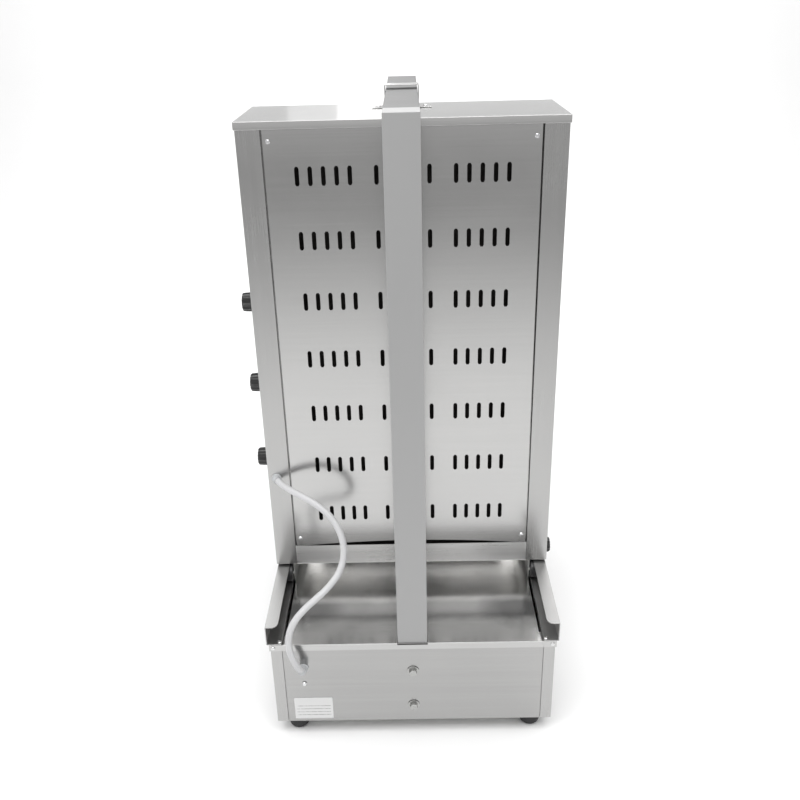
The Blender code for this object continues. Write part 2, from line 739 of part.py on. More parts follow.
def build_drive_shaft():
    """Build the output shaft and the six-sided end that carries the spit."""
    low = BOSS_TOP + GAP
    shoulder = HUB_Z - 0.001
    height = shoulder - low
    profile = [(0, 0), (DRIVE_RADIUS, 0), (DRIVE_RADIUS, height), (0, height)]
    shaft = turned("drive_shaft", profile, "+Z", (0, SPIT_Y, low), "bright", segments=20)
    rise = DRIVE_HEX_HEIGHT + 0.001
    profile = [
        (0, -0.004), (DRIVE_HEX_RADIUS, -0.004), (DRIVE_HEX_RADIUS, rise - 0.001),
        (DRIVE_HEX_RADIUS - 0.001, rise), (0, rise),
    ]
    end = turned("drive_hex", profile, "+Z", (0, 0, height), "bright", segments=6)
    end.location = (0, SPIT_Y, shoulder)
    return join(shaft, end)


def build_spit_plate():
    """Build the round plate with its hub and six-sided socket."""
    low = HUB_Z - PLATE_Z
    high = HUB_TOP - PLATE_Z
    edge = PLATE_RADIUS
    profile = [
        (0, low), (HUB_RADIUS, low), (HUB_RADIUS, 0), (edge, 0), (edge, PLATE_THICKNESS),
        (HUB_RADIUS, PLATE_THICKNESS), (HUB_RADIUS - 0.004, high), (0, high),
    ]
    centre = (0, SPIT_Y, PLATE_Z)
    plate = turned("spit_plate", profile, "+Z", centre, "bright", segments=40)
    radius = DRIVE_HEX_RADIUS + HEX_PLAY
    depth = DRIVE_HEX_HEIGHT + 0.001
    socket = [(0, -0.002), (radius, -0.002), (radius, depth), (0, depth)]
    centre = (0, SPIT_Y, HUB_Z)
    return cut(plate, turned("hub_socket", socket, "+Z", centre, "zinc", segments=6))


def build_spit_rod():
    """Turn the rod from the hub up into the bush, with a pointed top."""
    low = HUB_TOP + GAP
    height = BUSH_Z + BUSH_ENGAGEMENT - low
    profile = [
        (0, 0), (SPIT_RADIUS, 0), (SPIT_RADIUS, height - 0.006),
        (SPIT_RADIUS * 0.55, height), (0, height),
    ]
    return turned("spit_rod", profile, "+Z", (0, SPIT_Y, low), "bright", segments=16)


def build_drip_tray():
    """Build the lift-out tray with an upstand round the drive shaft."""
    half = TRAY_WIDTH / 2
    front = -REAR_Y + TRAY_FRONT
    floor = DECK_Z + GAP
    high = (half, front + TRAY_DEPTH, floor + TRAY_HEIGHT)
    pan = tray("drip_tray", (-half, front, floor), high, TRAY_SHEET, "+Z", "bright")
    profile = [
        (0, 0), (TRAY_COLLAR_RADIUS, 0), (TRAY_COLLAR_RADIUS, TRAY_COLLAR_HEIGHT),
        (0, TRAY_COLLAR_HEIGHT),
    ]
    centre = (0, SPIT_Y, floor)
    join(pan, turned("tray_collar", profile, "+Z", centre, "zinc"))
    return drill(pan, "tray_hole", "+Z", centre, TRAY_COLLAR_RADIUS - 0.0015, 0.04, 28)


# Heater tower -------------------------------------------------------------------------------

def panel_screw_places():
    """Give the x and z of each rear panel screw with its name."""
    inset = 0.0078
    return {
        f"panel_screw_{row}_{side_name(side)}": (side * (PANEL_HALF - inset), z)
        for side in (1, -1)
        for row, z in (("top", PANEL_TOP - 2.2 * inset), ("bottom", PANEL_Z + 2.2 * inset))
    }


def build_tower_side(side):
    """Fold one side of the tower: front flange, wall, rear post and the seat of the rear panel."""
    path = [
        (side * (TOWER_HALF - FRONT_FLANGE), TOWER_FRONT), (side * TOWER_HALF, TOWER_FRONT),
        (side * TOWER_HALF, TOWER_REAR), (side * POST_IN, TOWER_REAR),
        (side * POST_IN, SEAT_Y), (side * (POST_IN - SEAT_WIDTH), SEAT_Y),
    ]
    name = f"tower_side_{side_name(side)}"
    outline = sheet_outline(path, side * SHEET)
    panel = prism(name, outline, "Z", TOWER_Z, COVER_UNDER - GAP, "brushed")
    for screw, (x, z) in panel_screw_places().items():
        if x * side > 0:
            centre = (x, SEAT_Y, z)
            drill(panel, f"{screw}_seat_hole", "+Y", centre, 0.0017 + GAP, 0.006, 8)
    if side > 0:
        for zone, z in enumerate(KNOB_ZS, 1):
            centre = (TOWER_HALF, KNOB_Y, z)
            drill(panel, f"stem_hole_{zone}", "+X", centre, STEM_RADIUS + 0.001, 0.006)
        x, z = TOWER_GLAND
        radius = SPIGOT_RADIUS - 0.001 + GAP
        drill(panel, "gland_hole", "+Y", (x, TOWER_REAR, z), radius, 0.006, 20)
    return panel


def build_tower_top_cover():
    """Build the lid with its down-turned lip."""
    out = COVER_CLEARANCE + SHEET
    low = (-TOWER_HALF - out, TOWER_FRONT - out, TOWER_TOP - COVER_LIP)
    high = (TOWER_HALF + out, TOWER_REAR + out, TOWER_TOP)
    return tray("tower_top_cover", low, high, SHEET, "-Z", "brushed")


def slot_cutter():
    """Give one cutter that holds every vent slot of the rear panel."""
    pitch_x = 2 * (PANEL_HALF - SLOT_MARGIN_X) / (SLOT_COLUMNS - 1)
    pitch_z = (PANEL_TOP - PANEL_Z - 2 * SLOT_MARGIN_Z) / (SLOT_ROWS - 1)
    outline = stadium(SLOT_LENGTH, SLOT_WIDTH)
    low, high = TOWER_REAR - 2 * SHEET, TOWER_REAR + SHEET
    bm = bmesh.new()
    for row in range(SLOT_ROWS):
        z = PANEL_TOP - SLOT_MARGIN_Z - row * pitch_z
        for column in range(SLOT_COLUMNS):
            if column in SLOT_BLANKS:
                continue
            x = PANEL_HALF - SLOT_MARGIN_X - column * pitch_x
            bm.faces.new([bm.verts.new((x + a, low, z + b)) for a, b in outline])
    extruded = bmesh.ops.extrude_face_region(bm, geom=list(bm.faces))
    moved = [part for part in extruded["geom"] if isinstance(part, bmesh.types.BMVert)]
    bmesh.ops.translate(bm, vec=(0, high - low, 0), verts=moved)
    return from_bmesh("vent_slots", bm, "zinc")


def panel_arch():
    """Give the cutter of the shallow cooling gap in the rear panel's lower edge."""
    half = PANEL_HALF - PANEL_ARCH_INSET
    crown = [
        (half * part / 8, PANEL_Z + PANEL_ARCH_RISE * (1 - (part / 8) ** 2)) for part in range(8, -9, -1)
    ]
    low_z = PANEL_Z - SHEET
    outline = [(-half, low_z), (half, low_z), *crown]
    low, high = TOWER_REAR - PANEL_FLANGE - SHEET, TOWER_REAR + SHEET
    return prism("panel_arch", outline, "Y", low, high, "zinc")


def build_tower_rear_panel():
    """Build the folded rear panel with its rows of vent slots and its arched lower edge."""
    low = (-PANEL_HALF, TOWER_REAR - PANEL_FLANGE, PANEL_Z)
    high = (PANEL_HALF, TOWER_REAR, PANEL_TOP)
    panel = tray("tower_rear_panel", low, high, SHEET, "-Y", "brushed")
    cut(panel, slot_cutter())
    cut(panel, panel_arch())
    for name, (x, z) in panel_screw_places().items():
        drill(panel, f"{name}_hole", "+Y", (x, TOWER_REAR, z), 0.0017 + GAP, 0.006, 8)
    return panel


def build_panel_screws():
    """Turn the four screws that hold the rear panel."""
    tip = -POST_RETURN - SHEET - 0.002
    profile = [
        (0, tip), (0.0017, tip), (0.0017, GAP), (0.0038, GAP),
        (0.0038, 0.0010), (0.0026, 0.0022), (0, 0.0026),
    ]
    for name, (x, z) in panel_screw_places().items():
        turned(name, profile, "+Y", (x, TOWER_REAR, z), "bright", segments=14)


def build_tower_floor():
    """Build the tower's floor with its rear and front flanges."""
    path = [
        (TOWER_REAR, TOWER_Z + FLOOR_REAR_FLANGE), (TOWER_REAR, TOWER_Z),
        (TOWER_FRONT, TOWER_Z), (TOWER_FRONT, TOWER_Z + FLOOR_FRONT_FLANGE),
    ]
    half = POST_IN - SEAM / 2
    floor = prism("tower_floor", sheet_outline(path, -SHEET), "X", -half, half, "brushed")
    wing = TOWER_HALF - SHEET - GAP
    low = (-wing, TOWER_FRONT + SHEET + GAP, TOWER_Z)
    high = (wing, SEAT_Y - SHEET - GAP, TOWER_Z + SHEET)
    join(floor, box("floor_wings", low, high, "zinc"))
    for side in (1, -1):
        inner, outer = sorted((side * (POST_IN - SEAT_WIDTH - GAP), side * POST_IN))
        low = (inner, SEAT_Y - SHEET - GAP, TOWER_Z - SHEET)
        high = (outer, SEAT_Y + GAP, TOWER_Z + 2 * SHEET)
        cut(floor, box(f"seat_notch_{side_name(side)}", low, high, "zinc"))
    return floor


def element_levels():
    """Give the height of the middle of each heating zone."""
    low, high = TOWER_Z + FLOOR_FRONT_FLANGE, TOWER_TOP - COVER_LIP
    zone_height = (high - low) / ZONES
    return [low + zone_height * (zone + 0.5) for zone in range(ZONES)]


def element_points(level):
    """Give the points of one heating element: parallel passes joined by U bends."""
    radius = ELEMENT_PITCH / 2
    reach = TOWER_HALF - ELEMENT_MARGIN - radius
    y = TOWER_REAR - ELEMENT_SETBACK
    bend = 0.012
    low = level - ELEMENT_PITCH * (ELEMENT_PASSES - 1) / 2
    leg_end = y + bend + ELEMENT_LEG
    points = [(reach + bend, leg_end, low)]
    points += [(reach + bend * math.cos(t), y + bend - bend * math.sin(t), low)
               for t in (math.pi / 6 * step for step in range(4))]
    direction = -1
    for number in range(ELEMENT_PASSES):
        z = low + number * ELEMENT_PITCH
        points.append((direction * reach, y, z))
        if number < ELEMENT_PASSES - 1:
            for step in range(1, 7):
                angle = math.pi * step / 6
                x = direction * (reach + radius * math.sin(angle))
                points.append((x, y, z + radius * (1 - math.cos(angle))))
        direction = -direction
    top = low + (ELEMENT_PASSES - 1) * ELEMENT_PITCH
    points.pop()
    points += [(reach + bend * math.cos(t), y + bend - bend * math.sin(t), top)
               for t in (math.pi / 6 * step for step in range(3, -1, -1))]
    points.append((reach + bend, leg_end, top))
    return points


def build_heating_elements():
    """Bend one sheathed element for each zone."""
    for zone, level in enumerate(element_levels(), 1):
        points = element_points(level)
        tube_along(f"heating_element_{zone}", points, ELEMENT_RADIUS, "element", 2)


def build_tower_reflector():
    """Build the plate behind the elements, with a hole for each element leg."""
    half = TOWER_HALF - SHEET - GAP
    y = TOWER_REAR - REFLECTOR_SETBACK
    low = (-half, y - SHEET, TOWER_Z + SHEET + GAP)
    plate = box("tower_reflector", low, (half, y, COVER_UNDER - GAP), "bright")
    x = TOWER_HALF - ELEMENT_MARGIN - ELEMENT_PITCH / 2 + 0.012
    span = ELEMENT_PITCH * (ELEMENT_PASSES - 1) / 2
    for zone, level in enumerate(element_levels(), 1):
        for number, z in enumerate((level - span, level + span)):
            name = f"leg_hole_{zone}_{number}"
            drill(plate, name, "+Y", (x, y, z), ELEMENT_RADIUS + 0.0015, 0.006, 12)
    return plate


def build_front_guard():
    """Build the guard grille in front of the elements."""
    half = TOWER_HALF - FRONT_FLANGE + 0.006
    low, high = TOWER_Z + GUARD_MARGIN, TOWER_TOP - GUARD_MARGIN
    bm = bmesh.new()
    bmesh.ops.create_grid(bm, x_segments=GUARD_CELLS[0], y_segments=GUARD_CELLS[1], size=0.5)
    bmesh.ops.scale(bm, vec=(2 * half, high - low, 1), verts=bm.verts)
    cells = list(bm.faces)
    bmesh.ops.inset_individual(bm, faces=cells, thickness=GUARD_BAR / 2, use_even_offset=True)
    bmesh.ops.delete(bm, geom=cells, context="FACES_ONLY")
    extruded = bmesh.ops.extrude_face_region(bm, geom=list(bm.faces))
    moved = [part for part in extruded["geom"] if isinstance(part, bmesh.types.BMVert)]
    bmesh.ops.translate(bm, vec=(0, 0, GUARD_BAR), verts=moved)
    bmesh.ops.rotate(bm, matrix=Matrix.Rotation(math.pi / 2, 3, "X"), verts=bm.verts)
    y = TOWER_FRONT + SHEET + GAP + GUARD_BAR
    bmesh.ops.translate(bm, vec=(0, y, (low + high) / 2), verts=bm.verts)
    return from_bmesh("front_guard", bm, "bright")


def build_zone_controls():
    """Build each zone's regulator inside the tower and its knob outside."""
    inner = TOWER_HALF - SHEET - GAP
    half = REGULATOR_SIZE / 2
    reach = 0.008
    for zone, z in enumerate(KNOB_ZS, 1):
        low = (inner - REGULATOR_DEPTH, KNOB_Y - half, z - half)
        high = (inner, KNOB_Y + half, z + half)
        regulator = box(f"zone_regulator_{zone}", low, high, "grey_plastic")
        centre = (inner, KNOB_Y, z)
        drill(regulator, f"stem_bore_{zone}", "+X", centre, STEM_RADIUS + BORE_PLAY, 2 * reach + 0.002)
        build_zone_knob(zone, z, inner - reach)


def build_zone_knob(zone, z, stem_end):
    """Turn one knob with its skirt, grip and stem."""
    start = TOWER_HALF + 2 * GAP
    tip = stem_end - start
    profile = [
        (0, tip), (STEM_RADIUS, tip), (STEM_RADIUS, 0), (KNOB_RADIUS, 0),
        (KNOB_RADIUS, 0.004), (KNOB_RADIUS - 0.003, 0.007), (KNOB_RADIUS - 0.004, KNOB_LENGTH - 0.002),
        (KNOB_RADIUS - 0.006, KNOB_LENGTH), (0, KNOB_LENGTH),
    ]
    turned(f"zone_knob_{zone}", profile, "+X", (start, KNOB_Y, z), "black_plastic")


def build_guide_strap():
    """Fold the strap on the lid that holds the tower to the arm."""
    foot_z = TOWER_TOP + GAP + SHEET
    top_z = TOWER_TOP + STRAP_HEIGHT
    half = COLUMN_SIZE / 2 + STRAP_PLAY + SHEET
    path = [
        (-half - STRAP_FOOT, foot_z), (-half, foot_z), (-half, top_z),
        (half, top_z), (half, foot_z), (half + STRAP_FOOT, foot_z),
    ]
    rear = TOWER_REAR - STRAP_SETBACK
    outline = sheet_outline(path, -SHEET)
    return prism("guide_strap", outline, "Y", rear - STRAP_LENGTH, rear, "brushed")


def build_keel(side):
    """Build one keel: the plate in the deck's slot, its top flange and two stub axles."""
    top = TOWER_Z - GAP
    x = side * KEEL_X
    edge = side * KEEL_SHEET / 2
    path = [
        (x - side * KEEL_FLANGE, top), (x + edge, top), (x + edge, DECK_Z - KEEL_REACH),
    ]
    front, rear = TOWER_FRONT + 0.003, TOWER_REAR - 0.0025
    outline = sheet_outline(path, -side * KEEL_SHEET)
    keel = prism(f"keel_{side_name(side)}", outline, "Y", front, rear, "zinc")
    length = ROLLER_IN + ROLLER_WIDTH + 0.001 - KEEL_X
    profile = [(0, 0), (AXLE_RADIUS, 0), (AXLE_RADIUS, length), (0, length)]
    for row, y in ROLLER_YS.items():
        axis = "+X" if side > 0 else "-X"
        name = f"axle_{row}_{side_name(side)}"
        join(keel, turned(name, profile, axis, (x, y, AXLE_Z), "zinc", segments=12))
    if side < 0:
        centre = (x, CLAMP_Y, AXLE_Z)
        drill(keel, "clamp_hole", "+X", centre, CLAMP_SCREW_RADIUS + BORE_PLAY, 0.006, 12)
    return keel


def build_rollers(side):
    """Turn the two rollers of one side, each round its own axle."""
    bore = AXLE_RADIUS + BORE_PLAY
    chamfer = 0.001
    profile = [
        (bore, 0), (ROLLER_RADIUS - chamfer, 0), (ROLLER_RADIUS, chamfer),
        (ROLLER_RADIUS, ROLLER_WIDTH - chamfer), (ROLLER_RADIUS - chamfer, ROLLER_WIDTH),
        (bore, ROLLER_WIDTH),
    ]
    axis = "+X" if side > 0 else "-X"
    for row, y in ROLLER_YS.items():
        centre = (side * ROLLER_IN, y, AXLE_Z)
        name = f"roller_{row}_{side_name(side)}"
        turned(name, profile, axis, centre, "black_plastic", closed=True, segments=24)


def build_clamp_knob():
    """Turn the knob that clamps the tower to the left rail."""
    start = -RAIL_OUT - 2 * GAP
    reach = RAIL_OUT + 2 * GAP - KEEL_X + KEEL_SHEET
    profile = [
        (0, -reach), (CLAMP_SCREW_RADIUS, -reach), (CLAMP_SCREW_RADIUS, 0), (0.009, 0),
        (0.009, 0.004), (CLAMP_RADIUS, 0.006), (CLAMP_RADIUS, CLAMP_LENGTH - 0.002),
        (CLAMP_RADIUS - 0.002, CLAMP_LENGTH), (0, CLAMP_LENGTH),
    ]
    centre = (start, CLAMP_Y, AXLE_Z)
    return turned("clamp_knob", profile, "-X", centre, "black_plastic", segments=24)


# Fittings -----------------------------------------------------------------------------------

def conduit_centreline():
    """Give the points of the conduit's centreline, from the tower to the base."""
    return smooth_route(CONDUIT_POINTS, CONDUIT_STEP)


def hose_fitting(name, hole, end, follower):
    """Build a collar in a hole with a spigot that turns from the hole to the conduit's end.

    The collar's flange stands on the sheet's outer face. The spigot stops one gap from the end, and
    points away from the follower, which is the conduit's next point.
    """
    stem = SPIGOT_RADIUS - 0.001
    profile = [
        (0, -0.006), (stem, -0.006), (stem, GAP), (0.0088, GAP), (0.0088, 0.0018),
        (0.0080, 0.0026), (0, 0.0026),
    ]
    collar = turned(name, profile, "+Y", hole, "grey_plastic", segments=20)
    lead = (follower - end).normalized()
    root = Vector(hole) + Vector((0, 0.001, 0))
    tip = end - lead * GAP
    bend = [root, root + Vector((0, 0.0025, 0)), tip - lead * 0.004, tip - lead * 0.002]
    points = [*smooth_route([*bend, tip], 0.002)[:-1], tip - lead * 0.001, tip]
    spigot = solid_tube(f"{name}_spigot", points, SPIGOT_RADIUS, "grey_plastic", 3)
    return join(collar, spigot)


def build_tower_gland():
    """Build the angled gland where the conduit leaves the tower."""
    x, z = TOWER_GLAND
    first, second = conduit_centreline()[:2]
    return hose_fitting("conduit_gland", (x, TOWER_REAR, z), first, second)


def build_base_grommet():
    """Build the angled grommet where the conduit enters the base."""
    x, z = BASE_GROMMET
    second, first = conduit_centreline()[-2:]
    return hose_fitting("conduit_grommet", (x, REAR_Y, z), first, second)


def build_conduit():
    """Run the flexible conduit from the tower's gland to the base's grommet."""
    return tube_along("conduit", conduit_centreline(), CONDUIT_RADIUS, "grey_plastic", 2)


def build_earth_screw():
    """Turn the earth screw on the rear panel."""
    profile = [
        (0, -0.005), (0.002, -0.005), (0.002, GAP), (0.0042, GAP), (0.0042, 0.0016),
        (0.0030, 0.0030), (0, 0.0032),
    ]
    x, z = EARTH_SCREW
    return turned("earth_screw", profile, "+Y", (x, REAR_Y, z), "bright", segments=14)


def build_mains_gland():
    """Turn the mains cable's gland under the bottom plate."""
    profile = [
        (0.004, -0.014), (0.0080, -0.014), (0.0100, -0.010), (0.0115, -0.008),
        (0.0115, -GAP), (0.0075, -GAP), (0.0075, 0.006), (0.004, 0.006),
    ]
    x, y = MAINS_GLAND
    centre = (x, y, BODY_Z)
    return turned("mains_gland", profile, "+Z", centre, "black_plastic", closed=True, segments=20)


def build_motor_switch():
    """Build the motor switch's housing and its rocker, tilted to off."""
    z = BODY_Z + SWITCH_HEIGHT
    face = -REAR_Y - GAP - SWITCH_BEZEL_DEPTH
    half_x, half_z = SWITCH_BEZEL[0] / 2, SWITCH_BEZEL[1] / 2
    low = (SWITCH_X - half_x, face, z - half_z)
    high = (SWITCH_X + half_x, -REAR_Y - GAP, z + half_z)
    housing = box("motor_switch_housing", low, high, "black_plastic")
    half_x, half_z = SWITCH_BODY[0] / 2, SWITCH_BODY[1] / 2
    low = (SWITCH_X - half_x, face + SWITCH_BEZEL_DEPTH / 2, z - half_z)
    high = (SWITCH_X + half_x, -REAR_Y + SWITCH_BODY_DEPTH, z + half_z)
    join(housing, box("switch_body", low, high, "black_plastic"))
    half_x, half_z = SWITCH_POCKET[0] / 2, SWITCH_POCKET[1] / 2
    low = (SWITCH_X - half_x, face - 0.002, z - half_z)
    high = (SWITCH_X + half_x, face + SWITCH_POCKET_DEPTH, z + half_z)
    cut(housing, box("switch_pocket", low, high, "black_plastic"))
    build_rocker(face + SWITCH_PIVOT_DEPTH, z)


def build_rocker(pivot_y, pivot_z):
    """Build the rocker about its pivot, tilted to the off side."""
    half_z = SWITCH_POCKET[1] / 2 - 2 * ROCKER_PLAY
    deep = SWITCH_POCKET_DEPTH - SWITCH_PIVOT_DEPTH - ROCKER_PLAY
    outline = [
        (-0.0032, -half_z), (-0.0018, 0), (-0.0032, half_z), (0.001, half_z),
        (deep, 0.0012), (deep, -0.0012), (0.001, -half_z),
    ]
    half_x = SWITCH_POCKET[0] / 2 - ROCKER_PLAY
    rocker = prism("motor_switch_rocker", outline, "X", -half_x, half_x, "red_plastic")
    rocker.location = (SWITCH_X, pivot_y, pivot_z)
    rocker.rotation_euler = (math.radians(-ROCKER_TILT), 0, 0)
    return rocker


def main():
    """Build every piece of the grill."""
    clear_scene()
    build_base_shell()
    build_base_rear_panel()
    build_base_bottom_plate()
    build_feet()
    build_deck_plate()
    build_column()
    build_column_bolts()
    build_top_arm()
    build_arm_end_cap()
    build_top_bush()
    build_motor_bracket()
    build_gearbox()
    build_drive_motor()
    build_drive_shaft()
    build_spit_plate()
    build_spit_rod()
    build_drip_tray()
    for side in (1, -1):
        build_rail(side)
        build_tower_side(side)
        build_keel(side)
        build_rollers(side)
    build_tower_top_cover()
    build_tower_rear_panel()
    build_panel_screws()
    build_tower_floor()
    build_tower_reflector()
    build_heating_elements()
    build_front_guard()
    build_zone_controls()
    build_guide_strap()
    build_clamp_knob()
    build_tower_gland()
    build_base_grommet()
    build_conduit()
    build_earth_screw()
    build_mains_gland()
    build_motor_switch()


main()
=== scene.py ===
"""Visual model of an electric vertical rotisserie grill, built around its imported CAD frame.

The heater tower, the base, the spit and the hose are dressed with procedural finishes, and the parts
whose real shape is finer than the CAD solid are rebuilt here in place of it. Lengths are in metres.
"""

import json
import logging
import math
from collections.abc import Iterable, Mapping, Sequence
from dataclasses import dataclass
from enum import Enum

import bmesh
import bpy
from mathutils import Matrix, Vector

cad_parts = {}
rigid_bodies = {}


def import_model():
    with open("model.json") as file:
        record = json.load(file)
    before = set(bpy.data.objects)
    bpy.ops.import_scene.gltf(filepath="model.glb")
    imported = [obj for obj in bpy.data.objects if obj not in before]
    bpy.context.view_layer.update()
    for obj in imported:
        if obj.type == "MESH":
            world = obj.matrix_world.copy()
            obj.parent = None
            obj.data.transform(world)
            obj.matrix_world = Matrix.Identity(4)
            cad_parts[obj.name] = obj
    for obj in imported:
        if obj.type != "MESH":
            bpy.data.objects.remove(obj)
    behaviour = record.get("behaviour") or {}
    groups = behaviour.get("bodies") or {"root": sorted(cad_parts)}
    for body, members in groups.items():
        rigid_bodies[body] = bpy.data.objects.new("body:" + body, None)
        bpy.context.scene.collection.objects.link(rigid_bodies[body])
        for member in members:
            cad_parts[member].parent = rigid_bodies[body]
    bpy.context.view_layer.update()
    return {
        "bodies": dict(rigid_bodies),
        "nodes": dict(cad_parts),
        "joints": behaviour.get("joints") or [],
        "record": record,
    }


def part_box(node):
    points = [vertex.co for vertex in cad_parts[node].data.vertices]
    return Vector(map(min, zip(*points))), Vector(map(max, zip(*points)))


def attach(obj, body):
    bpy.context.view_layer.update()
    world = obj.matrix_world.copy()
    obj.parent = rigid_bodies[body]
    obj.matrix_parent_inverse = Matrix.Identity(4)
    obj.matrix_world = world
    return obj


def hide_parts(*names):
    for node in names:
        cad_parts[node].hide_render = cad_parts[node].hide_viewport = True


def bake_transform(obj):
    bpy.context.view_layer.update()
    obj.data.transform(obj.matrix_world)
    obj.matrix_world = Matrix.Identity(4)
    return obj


LOG = logging.getLogger("rotisserie")


class Axis(Enum):
    """One of the three axes of the machine."""

    X = 0
    Y = 1
    Z = 2


class Slot(Enum):
    """The record's material slots, named in each call that builds a piece."""

    BRUSHED = "brushed_sheet"
    ZINC = "zinc_sheet"
    FASTENER = "bright_fastener"
    BRIGHT = "bright_steel"
    ELEMENT = "element_sheath"
    BLACK = "black_plastic"
    GREY = "grey_plastic"


# Shader expressions ---------------------------------------------------------------------------


class Term:
    """A shader socket that takes Python's operators, each of which adds a Math node."""

    def __init__(self, graph: "Graph", socket: bpy.types.NodeSocket) -> None:
        """Keep the socket and the graph that it belongs to."""
        self.graph = graph
        self.socket = socket

    def __add__(self, other: "Term | float") -> "Term":
        """Add."""
        return self.graph.maths("ADD", self, other)

    __radd__ = __add__

    def __sub__(self, other: "Term | float") -> "Term":
        """Take away."""
        return self.graph.maths("SUBTRACT", self, other)

    def __rsub__(self, other: "Term | float") -> "Term":
        """Take this from a value."""
        return self.graph.maths("SUBTRACT", other, self)

    def __mul__(self, other: "Term | float") -> "Term":
        """Multiply."""
        return self.graph.maths("MULTIPLY", self, other)

    __rmul__ = __mul__

    def __gt__(self, other: "Term | float") -> "Term":
        """Give 1 where this is the greater, and 0 elsewhere."""
        return self.graph.maths("GREATER_THAN", self, other)

    def __pow__(self, other: float) -> "Term":
        """Raise to a power."""
        return self.graph.maths("POWER", self, other)

    def __abs__(self) -> "Term":
        """Give the size without its sign."""
        return self.graph.maths("ABSOLUTE", self)

    def wave(self) -> "Term":
        """Give the sine."""
        return self.graph.maths("SINE", self)

    def within(self, low: float, high: float) -> "Term":
        """Spread low to high over 0 to 1, and hold what lies outside.

        Args:
            low: The value that becomes 0.
            high: The value that becomes 1.

        Returns:
            The spread value.
        """
        inputs = {0: self, 1: low, 2: high}
        return Term(self.graph, self.graph.node("ShaderNodeMapRange", {}, inputs).outputs[0])


class Graph:
    """The node tree of one material, with its Principled shader."""

    def __init__(self, name: str) -> None:
        """Start a material.

        Args:
            name: The material's name.
        """
        self.material = bpy.data.materials.new(name)
        self.material.use_nodes = True
        self.tree = self.material.node_tree
        self.shader = self.tree.nodes["Principled BSDF"]

    def node(
        self,
        kind: str,
        settings: Mapping[str, object],
        inputs: Mapping[int | str, object],
    ) -> bpy.types.Node:
        """Add a node.

        Args:
            kind: The node's type.
            settings: Its own settings, with "stops" for the colours of a ramp.
            inputs: The value or link of each socket, by name or number.

        Returns:
            The new node.
        """
        node = self.tree.nodes.new(kind)
        for key, value in settings.items():
            if key == "stops":
                self._set_stops(node.color_ramp, value)
            else:
                setattr(node, key, value)
        for key, value in inputs.items():
            self.feed(node.inputs[key], value)
        return node

    def feed(self, socket: bpy.types.NodeSocket, value: object) -> None:
        """Link a term to a socket, or set the socket's own value."""
        if isinstance(value, Term):
            self.tree.links.new(value.socket, socket)
        else:
            socket.default_value = value

    def maths(self, operation: str, *values: Term | float) -> Term:
        """Add a Math node.

        Args:
            operation: The Math node's operation.
            values: One or two terms or numbers.

        Returns:
            The result.
        """
        inputs = dict(enumerate(values))
        return Term(self, self.node("ShaderNodeMath", {"operation": operation}, inputs).outputs[0])

    def place(self, scale: Sequence[float], offset: Sequence[float] = (0, 0, 0)) -> Term:
        """Give Object coordinates, moved by an offset and then scaled along each axis."""
        source = Term(self, self.node("ShaderNodeTexCoord", {}, {}).outputs["Object"])
        shift = {"operation": "SUBTRACT"}
        moved = Term(self, self.node("ShaderNodeVectorMath", shift, {0: source, 1: offset}).outputs[0])
        times = {"operation": "MULTIPLY"}
        scaled = self.node("ShaderNodeVectorMath", times, {0: moved, 1: scale})
        return Term(self, scaled.outputs[0])

    def noise(self, scale: Sequence[float], detail: float = 2.0, rough: float = 0.5) -> Term:
        """Give a noise value from 0 to 1.

        Args:
            scale: Features per metre along each axis.
            detail: Layers of finer noise.
            rough: Strength of the finer layers.

        Returns:
            The noise.
        """
        inputs = {"Vector": self.place(scale), "Scale": 1.0, "Detail": detail, "Roughness": rough}
        return Term(self, self.node("ShaderNodeTexNoise", {}, inputs).outputs["Fac"])

    def blend(
        self, factor: Term, low: Term | Sequence[float], high: Term | Sequence[float]
    ) -> Term:
        """Mix two colours, each a term or three numbers, by a factor."""
        node = self.node("ShaderNodeMix", {"data_type": "RGBA"}, {})
        self.feed(node.inputs[0], factor)
        self.feed(node.inputs[6], low if isinstance(low, Term) else (*low, 1.0))
        self.feed(node.inputs[7], high if isinstance(high, Term) else (*high, 1.0))
        return Term(self, node.outputs[2])

    def bump(self, height: Term, strength: float, distance: float) -> Term:
        """Turn a height from 0 to 1 into a surface normal."""
        inputs = {"Strength": strength, "Distance": distance, "Height": height}
        return Term(self, self.node("ShaderNodeBump", {}, inputs).outputs["Normal"])

    def dress(self, **sockets: object) -> bpy.types.Material:
        """Feed the Principled shader's sockets.

        Args:
            sockets: A value or term for each socket, named with _ for a space.

        Returns:
            The finished material.
        """
        for key, value in sockets.items():
            self.feed(self.shader.inputs[key.replace("_", " ")], value)
        return self.material

    @staticmethod
    def _set_stops(ramp: bpy.types.ColorRamp, stops: Sequence[tuple[float, Sequence[float]]]) -> None:
        """Give a ramp its colour stops."""
        while len(ramp.elements) < len(stops):
            ramp.elements.new(1.0)
        for element, (position, colour) in zip(ramp.elements, stops):
            element.position = position
            element.color = (*colour, 1.0)


# Finishes -------------------------------------------------------------------------------------


